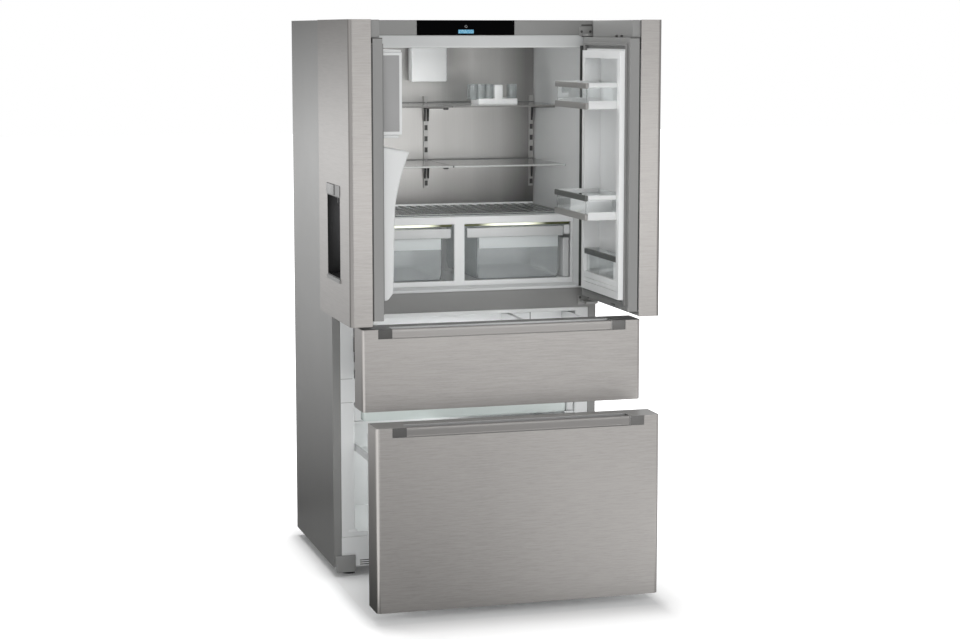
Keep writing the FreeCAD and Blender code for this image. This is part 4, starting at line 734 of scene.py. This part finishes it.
# Dark strips above and below the hinge plates: painted shade in the gaps.
piece("hinge_gap_shades", both_sides(several(
    rounded_block((0.398, -0.0036, 1.7756), (0.436, -0.0002, 1.7777), 0.0008, 2),
    rounded_block((0.398, -0.0012, 1.8118), (0.436, -0.0001, 1.8165), 0.0005, 2))),
    dark_grey, "cabinet")
piece("hinge_covers", both_sides(rounded_block((0.4365, -0.0110, 1.7785), (0.4545, -0.0002, 1.8290), 0.002)),
      edge_grey, "cabinet")
WASHER = [(0.0065, 1.7753), (0.0100, 1.7753), (0.0100, 1.7777), (0.0065, 1.7777), (0.0065, 1.7753)]
piece("hinge_washers", both_sides(turned(WASHER, (PIVOT_X, PIVOT_Y, 0.0), 2, 24)),
      trim_white, "cabinet")
seams = [rounded_block((0.388, -0.0004, z - 0.0006), (0.4282, 0.0004, z + 0.0006), 0.0003, 2)
         for z in (0.584, 0.663)]
piece("divider_seams", both_sides(several(*seams)), seal_grey, "cabinet")

# Freezer tray, the cabinet's foot, drawer stops and hinge screws
TRAY_ROWS = [(0.004, 0.5173), (0.0, 0.530), (0.0, 0.5750), (0.0026, 0.5750), (0.0026, 0.532), (0.007, 0.5200)]
piece("freezer_tray_shell", tray((-0.353, 0.0005), (0.353, 0.425), 0.012, TRAY_ROWS),
      tray_clear, "freezer_tray", replaces=("freezer_tray",))
guide = rounded_block((0.3575, 0.0125, 0.5180), (0.3822, 0.4000, 0.5690), 0.004)
piece("freezer_tray_guides", both_sides(guide), liner_white, "cabinet")
piece("foot_cover_caps", both_sides(rounded_block((0.383, -0.007, 0.014), (0.449, -0.0001, 0.071), 0.003)),
      edge_grey, "cabinet", replaces=("foot_covers",))
sill_lip = rounded_block((0.3765, -0.0030, 0.1482), (0.406, -0.0001, 0.1580), 0.0014, 3)
piece("freezer_sill_lips", both_sides(sill_lip), trim_white, "cabinet")
# Dark strips for the plinth's vent slots: painted shade of the openings.
vents = [rounded_block((0.330, -0.0006, z), (0.368, -0.0001, z + 0.0030), 0.0002, 2)
         for z in (0.0360, 0.0430, 0.0500)]
piece("plinth_slots", both_sides(several(*vents)), dark_grey, "cabinet")
piece("drawer_stops", both_sides(rounded_block((0.3795, -0.0055, 0.752), (0.3838, 0.004, 0.800), 0.0015, 3)),
      dark_grey, "cabinet")
SCREW = [(0.0, -0.0022), (0.0010, -0.0014), (0.0026, -0.0022), (0.0042, -0.0012), (0.0042, 0.0004)]
screws = [turned(SCREW, (x, -0.003, z), 1, 16) for x in (-0.428, -0.398) for z in (1.793, 0.9055)]
piece("hinge_screws", both_sides(several(*screws)), dark_grey, "cabinet")

# Back: screws along the panels' edges and pressed beads
REAR_SCREWS = [(x, z) for x in (-0.440, 0.0) for z in (0.318, 0.362, 1.812)]
REAR_SCREWS += [(-0.440, z) for z in (0.060, 0.85, 1.33)]
screws = [turned([(r, -h) for r, h in SCREW], (x, 0.6206, z), 1, 16) for x, z in REAR_SCREWS]
piece("rear_screws", both_sides(several(*screws)), zinc, "cabinet")
bow = np.linspace(0, math.pi, 13)
beads = [along(np.stack([0.6199 + 0.0016 * np.sin(bow), z - 0.009 * np.cos(bow)], -1), 0, -0.36, 0.36)
         for z in (0.62, 0.92, 1.22, 1.52)]
piece("rear_beads", several(*beads), zinc, "cabinet")


# Stage, light and camera

def stage_sheet(name, corners, finish, hidden=()):
    """A flat sheet through four corners, hidden from the named kinds of ray."""
    mesh = bpy.data.meshes.new(name)
    mesh.from_pydata(corners, [], [(0, 1, 2, 3)])
    mesh.materials.append(finish)
    obj = bpy.data.objects.new(name, mesh)
    bpy.context.scene.collection.objects.link(obj)
    for kind in hidden:
        setattr(obj, "visible_" + kind, False)


def light_path(tree, *names):
    """1 for the named kinds of ray, 0 for the rest."""
    path = tree.nodes.new("ShaderNodeLightPath")
    total = path.outputs[names[0]]
    for name in names[1:]:
        add = tree.nodes.new("ShaderNodeMath")
        add.operation = "MAXIMUM"
        tree.links.new(total, add.inputs[0])
        tree.links.new(path.outputs[name], add.inputs[1])
        total = add.outputs[0]
    return total


def pale_floor():
    """White floor: lit paper that keeps the shadow, with a glow added where it is seen directly, least under
    the object and more with the distance from it, so that a painted shadow darkens the floor round the
    object's footprint. Reflections see a graded
    glow instead: dim beside the cabinet, brighter in front of it, towards the right and just left of the
    lower drawer."""
    f = Finish("floor_paper", (0.92, 0.92, 0.92), 0.9, Specular_IOR_Level=0.0)
    where = f.node("ShaderNodeTexCoord").outputs["Object"]
    away = f.node("ShaderNodeVectorMath", {"operation": "LENGTH"}, i0=where).outputs["Value"]
    x, y = f.at(0), f.at(1)
    beyond_x = f.span(f.calc("ABSOLUTE", x), 0.455, 0.655, 0.0, 0.6)
    beyond_y = f.span(f.calc("ABSOLUTE", y), 0.61, 1.21, 0.0, 0.6)
    beyond = f.calc("ADD", beyond_x, beyond_y)
    # Painted shadow: the glow is least near the footprint.
    lift = f.calc("ADD", f.span(beyond, 0.0, 0.13, 0.03, 0.36), f.span(beyond, 0.13, 0.45, 0.0, 0.25))
    lift = f.calc("ADD", lift, f.span(away, 1.4, 3.2, 0.0, 0.6))
    seen = f.calc("MULTIPLY", light_path(f.tree, "Is Camera Ray", "Is Transmission Ray"), lift)
    glow = f.node("ShaderNodeEmission", Color=(1, 1, 1, 1), Strength=seen)
    lit = f.node("ShaderNodeAddShader", i0=f.shader.outputs[0], i1=glow.outputs[0])
    beside = f.calc("MAXIMUM", f.span(away, 0.6, 1.5, 0.02, 0.16), f.span(away, 1.5, 5.0, 0.16, 0.90))
    right = f.calc("MULTIPLY", f.span(x, -0.2, 0.9, 0.52, 1.50), f.span(y, -0.85, -0.35, 1.0, 0.0))
    left = f.calc("MULTIPLY", f.span(x, -0.60, -0.48, 1.5, 0.0), f.span(y, -0.65, -0.61, 1.0, 0.0))
    front = f.calc("MULTIPLY", f.calc("MAXIMUM", right, left), f.span(away, 2.2, 5.0, 1.0, 0.50))
    mirrored = f.node("ShaderNodeEmission", Color=(1, 1, 1, 1), Strength=f.calc("MAXIMUM", beside, front))
    swap = f.node("ShaderNodeMixShader", i0=light_path(f.tree, "Is Glossy Ray"), i1=lit.outputs[0],
                  i2=mirrored.outputs[0])
    f.tree.links.new(swap.outputs[0], f.output.inputs["Surface"])
    return f.material


stage_sheet("studio_floor", [(-30, -30, 0), (30, -30, 0), (30, 30, 0), (-30, 30, 0)], pale_floor())


def side_glow(f):
    """Dim at the floor, brightest at door height and dim above it; a little brighter far from the cabinet."""
    rise = f.span(f.at(2), 0.02, 1.30, 0.06, 1.08)
    fall = f.span(f.at(2), 1.42, 1.85, 1.08, 0.28)
    return f.calc("MULTIPLY", f.calc("MINIMUM", rise, fall), f.span(f.at(0), -0.85, -0.60, 1.30, 1.0))


def reflection_card(name, corners, glow):
    """A card through four corners that only reflections see; the glow is a number or made from its finish."""
    f = Finish(name, (0, 0, 0), 1.0, Specular_IOR_Level=0.0)
    f.put("Emission Color", (1.0, 1.0, 1.0, 1.0))
    f.put("Emission Strength", glow(f) if callable(glow) else glow)
    stage_sheet(name, corners, f.material, ("camera", "diffuse", "transmission", "shadow"))


reflection_card("side_card", [(-2.6, 1.0, 0.0), (-0.47, 1.0, 0.0), (-0.47, 1.0, 2.6), (-2.6, 1.0, 2.6)],
                side_glow)
reflection_card("corner_card",
                [(-1.05, -2.0, 0.0), (-1.05, -0.45, 0.0), (-1.05, -0.45, 2.1), (-1.05, -2.0, 2.1)], 1.6)

world = bpy.data.worlds.new("studio")
bpy.context.scene.world = world
world.use_nodes = True
backdrop = world.node_tree.nodes["Background"]
backdrop.inputs["Color"].default_value = (1, 1, 1, 1)
lift = world.node_tree.nodes.new("ShaderNodeMapRange")
lift.inputs["To Min"].default_value = 0.45
lift.inputs["To Max"].default_value = 1.0
seen = light_path(world.node_tree, "Is Camera Ray", "Is Glossy Ray", "Is Transmission Ray")
world.node_tree.links.new(seen, lift.inputs["Value"])
world.node_tree.links.new(lift.outputs[0], backdrop.inputs["Strength"])


def softbox(name, at, towards, size, watts, mirrored=False, beam=180.0):
    """A rectangular area lamp that faces a point, with the width of its beam in degrees; only a mirrored one
    shows in reflections."""
    lamp = bpy.data.lights.new(name, "AREA")
    lamp.shape = "RECTANGLE"
    lamp.size, lamp.size_y = size
    lamp.energy = watts
    lamp.spread = math.radians(beam)
    obj = bpy.data.objects.new(name, lamp)
    obj.location = at
    obj.rotation_euler = (Vector(towards) - Vector(at)).to_track_quat("-Z", "Y").to_euler()
    bpy.context.scene.collection.objects.link(obj)
    obj.visible_camera = False
    obj.visible_glossy = mirrored


softbox("front_softbox", (1.0, -3.9, 1.05), (0.1, 0.0, 1.05), (2.4, 0.7), 12, mirrored=True)
softbox("fill_softbox", (-0.3, -5.6, 3.0), (0.0, 0.0, 1.1), (2.4, 1.8), 70)
softbox("low_softbox", (-1.3, -2.2, 0.55), (-0.38, 0.0, 0.45), (0.7, 0.7), 5)
softbox("top_softbox", (-0.35, 0.9, 4.2), (0.0, 0.0, 0.6), (2.2, 1.6), 80)
softbox("door_lamp", (0.0, -0.55, 1.35), (0.40, -0.25, 1.35), (0.2, 0.8), 0.5)
softbox("fridge_lamp", (-0.375, 0.10, 1.55), (0.05, 0.50, 1.60), (0.05, 0.4), 1.0)
softbox("crisper_fill", (-0.06, -0.30, 1.06), (-0.02, 0.10, 1.02), (0.4, 0.05), 0.12)
softbox("upper_freezer_lamp", (0.0, -0.27, 0.70), (0.0, 0.07, 0.7975), (0.7, 0.05), 0.18, beam=38.0)
softbox("left_bin_lamp", (0.02, -0.06, 0.78), (0.155, 0.0, 0.835), (0.10, 0.04), 0.02, beam=70.0)
softbox("right_bin_lamp", (0.19, -0.02, 0.79), (0.37, 0.0, 0.82), (0.10, 0.04), 0.02, beam=80.0)
softbox("tray_lamp", (0.05, -0.25, 0.616), (0.0, 0.1, 0.45), (0.8, 0.10), 0.65)
softbox("lower_freezer_lamp", (0.0, 0.12, 0.44), (-0.36, 0.30, 0.30), (0.4, 0.05), 0.7)

SENSOR_MM = 36.0
FOCAL_PX = 2127.6
PICTURE_PX = 960.0
camera = bpy.data.cameras.new("photo_camera")
camera.sensor_width = SENSOR_MM
camera.lens = FOCAL_PX * SENSOR_MM / PICTURE_PX
eye = bpy.data.objects.new("photo_camera", camera)
eye.location = (-1.9101, -6.7420, 1.7957)
yaw, pitch = math.radians(-16.196), math.radians(-7.742)
ahead = Vector((-math.sin(yaw) * math.cos(pitch), math.cos(yaw) * math.cos(pitch), math.sin(pitch)))
eye.rotation_euler = ahead.to_track_quat("-Z", "Y").to_euler()
bpy.context.scene.collection.objects.link(eye)
bpy.context.scene.camera = eye
bpy.context.scene.view_settings.view_transform = "Standard"
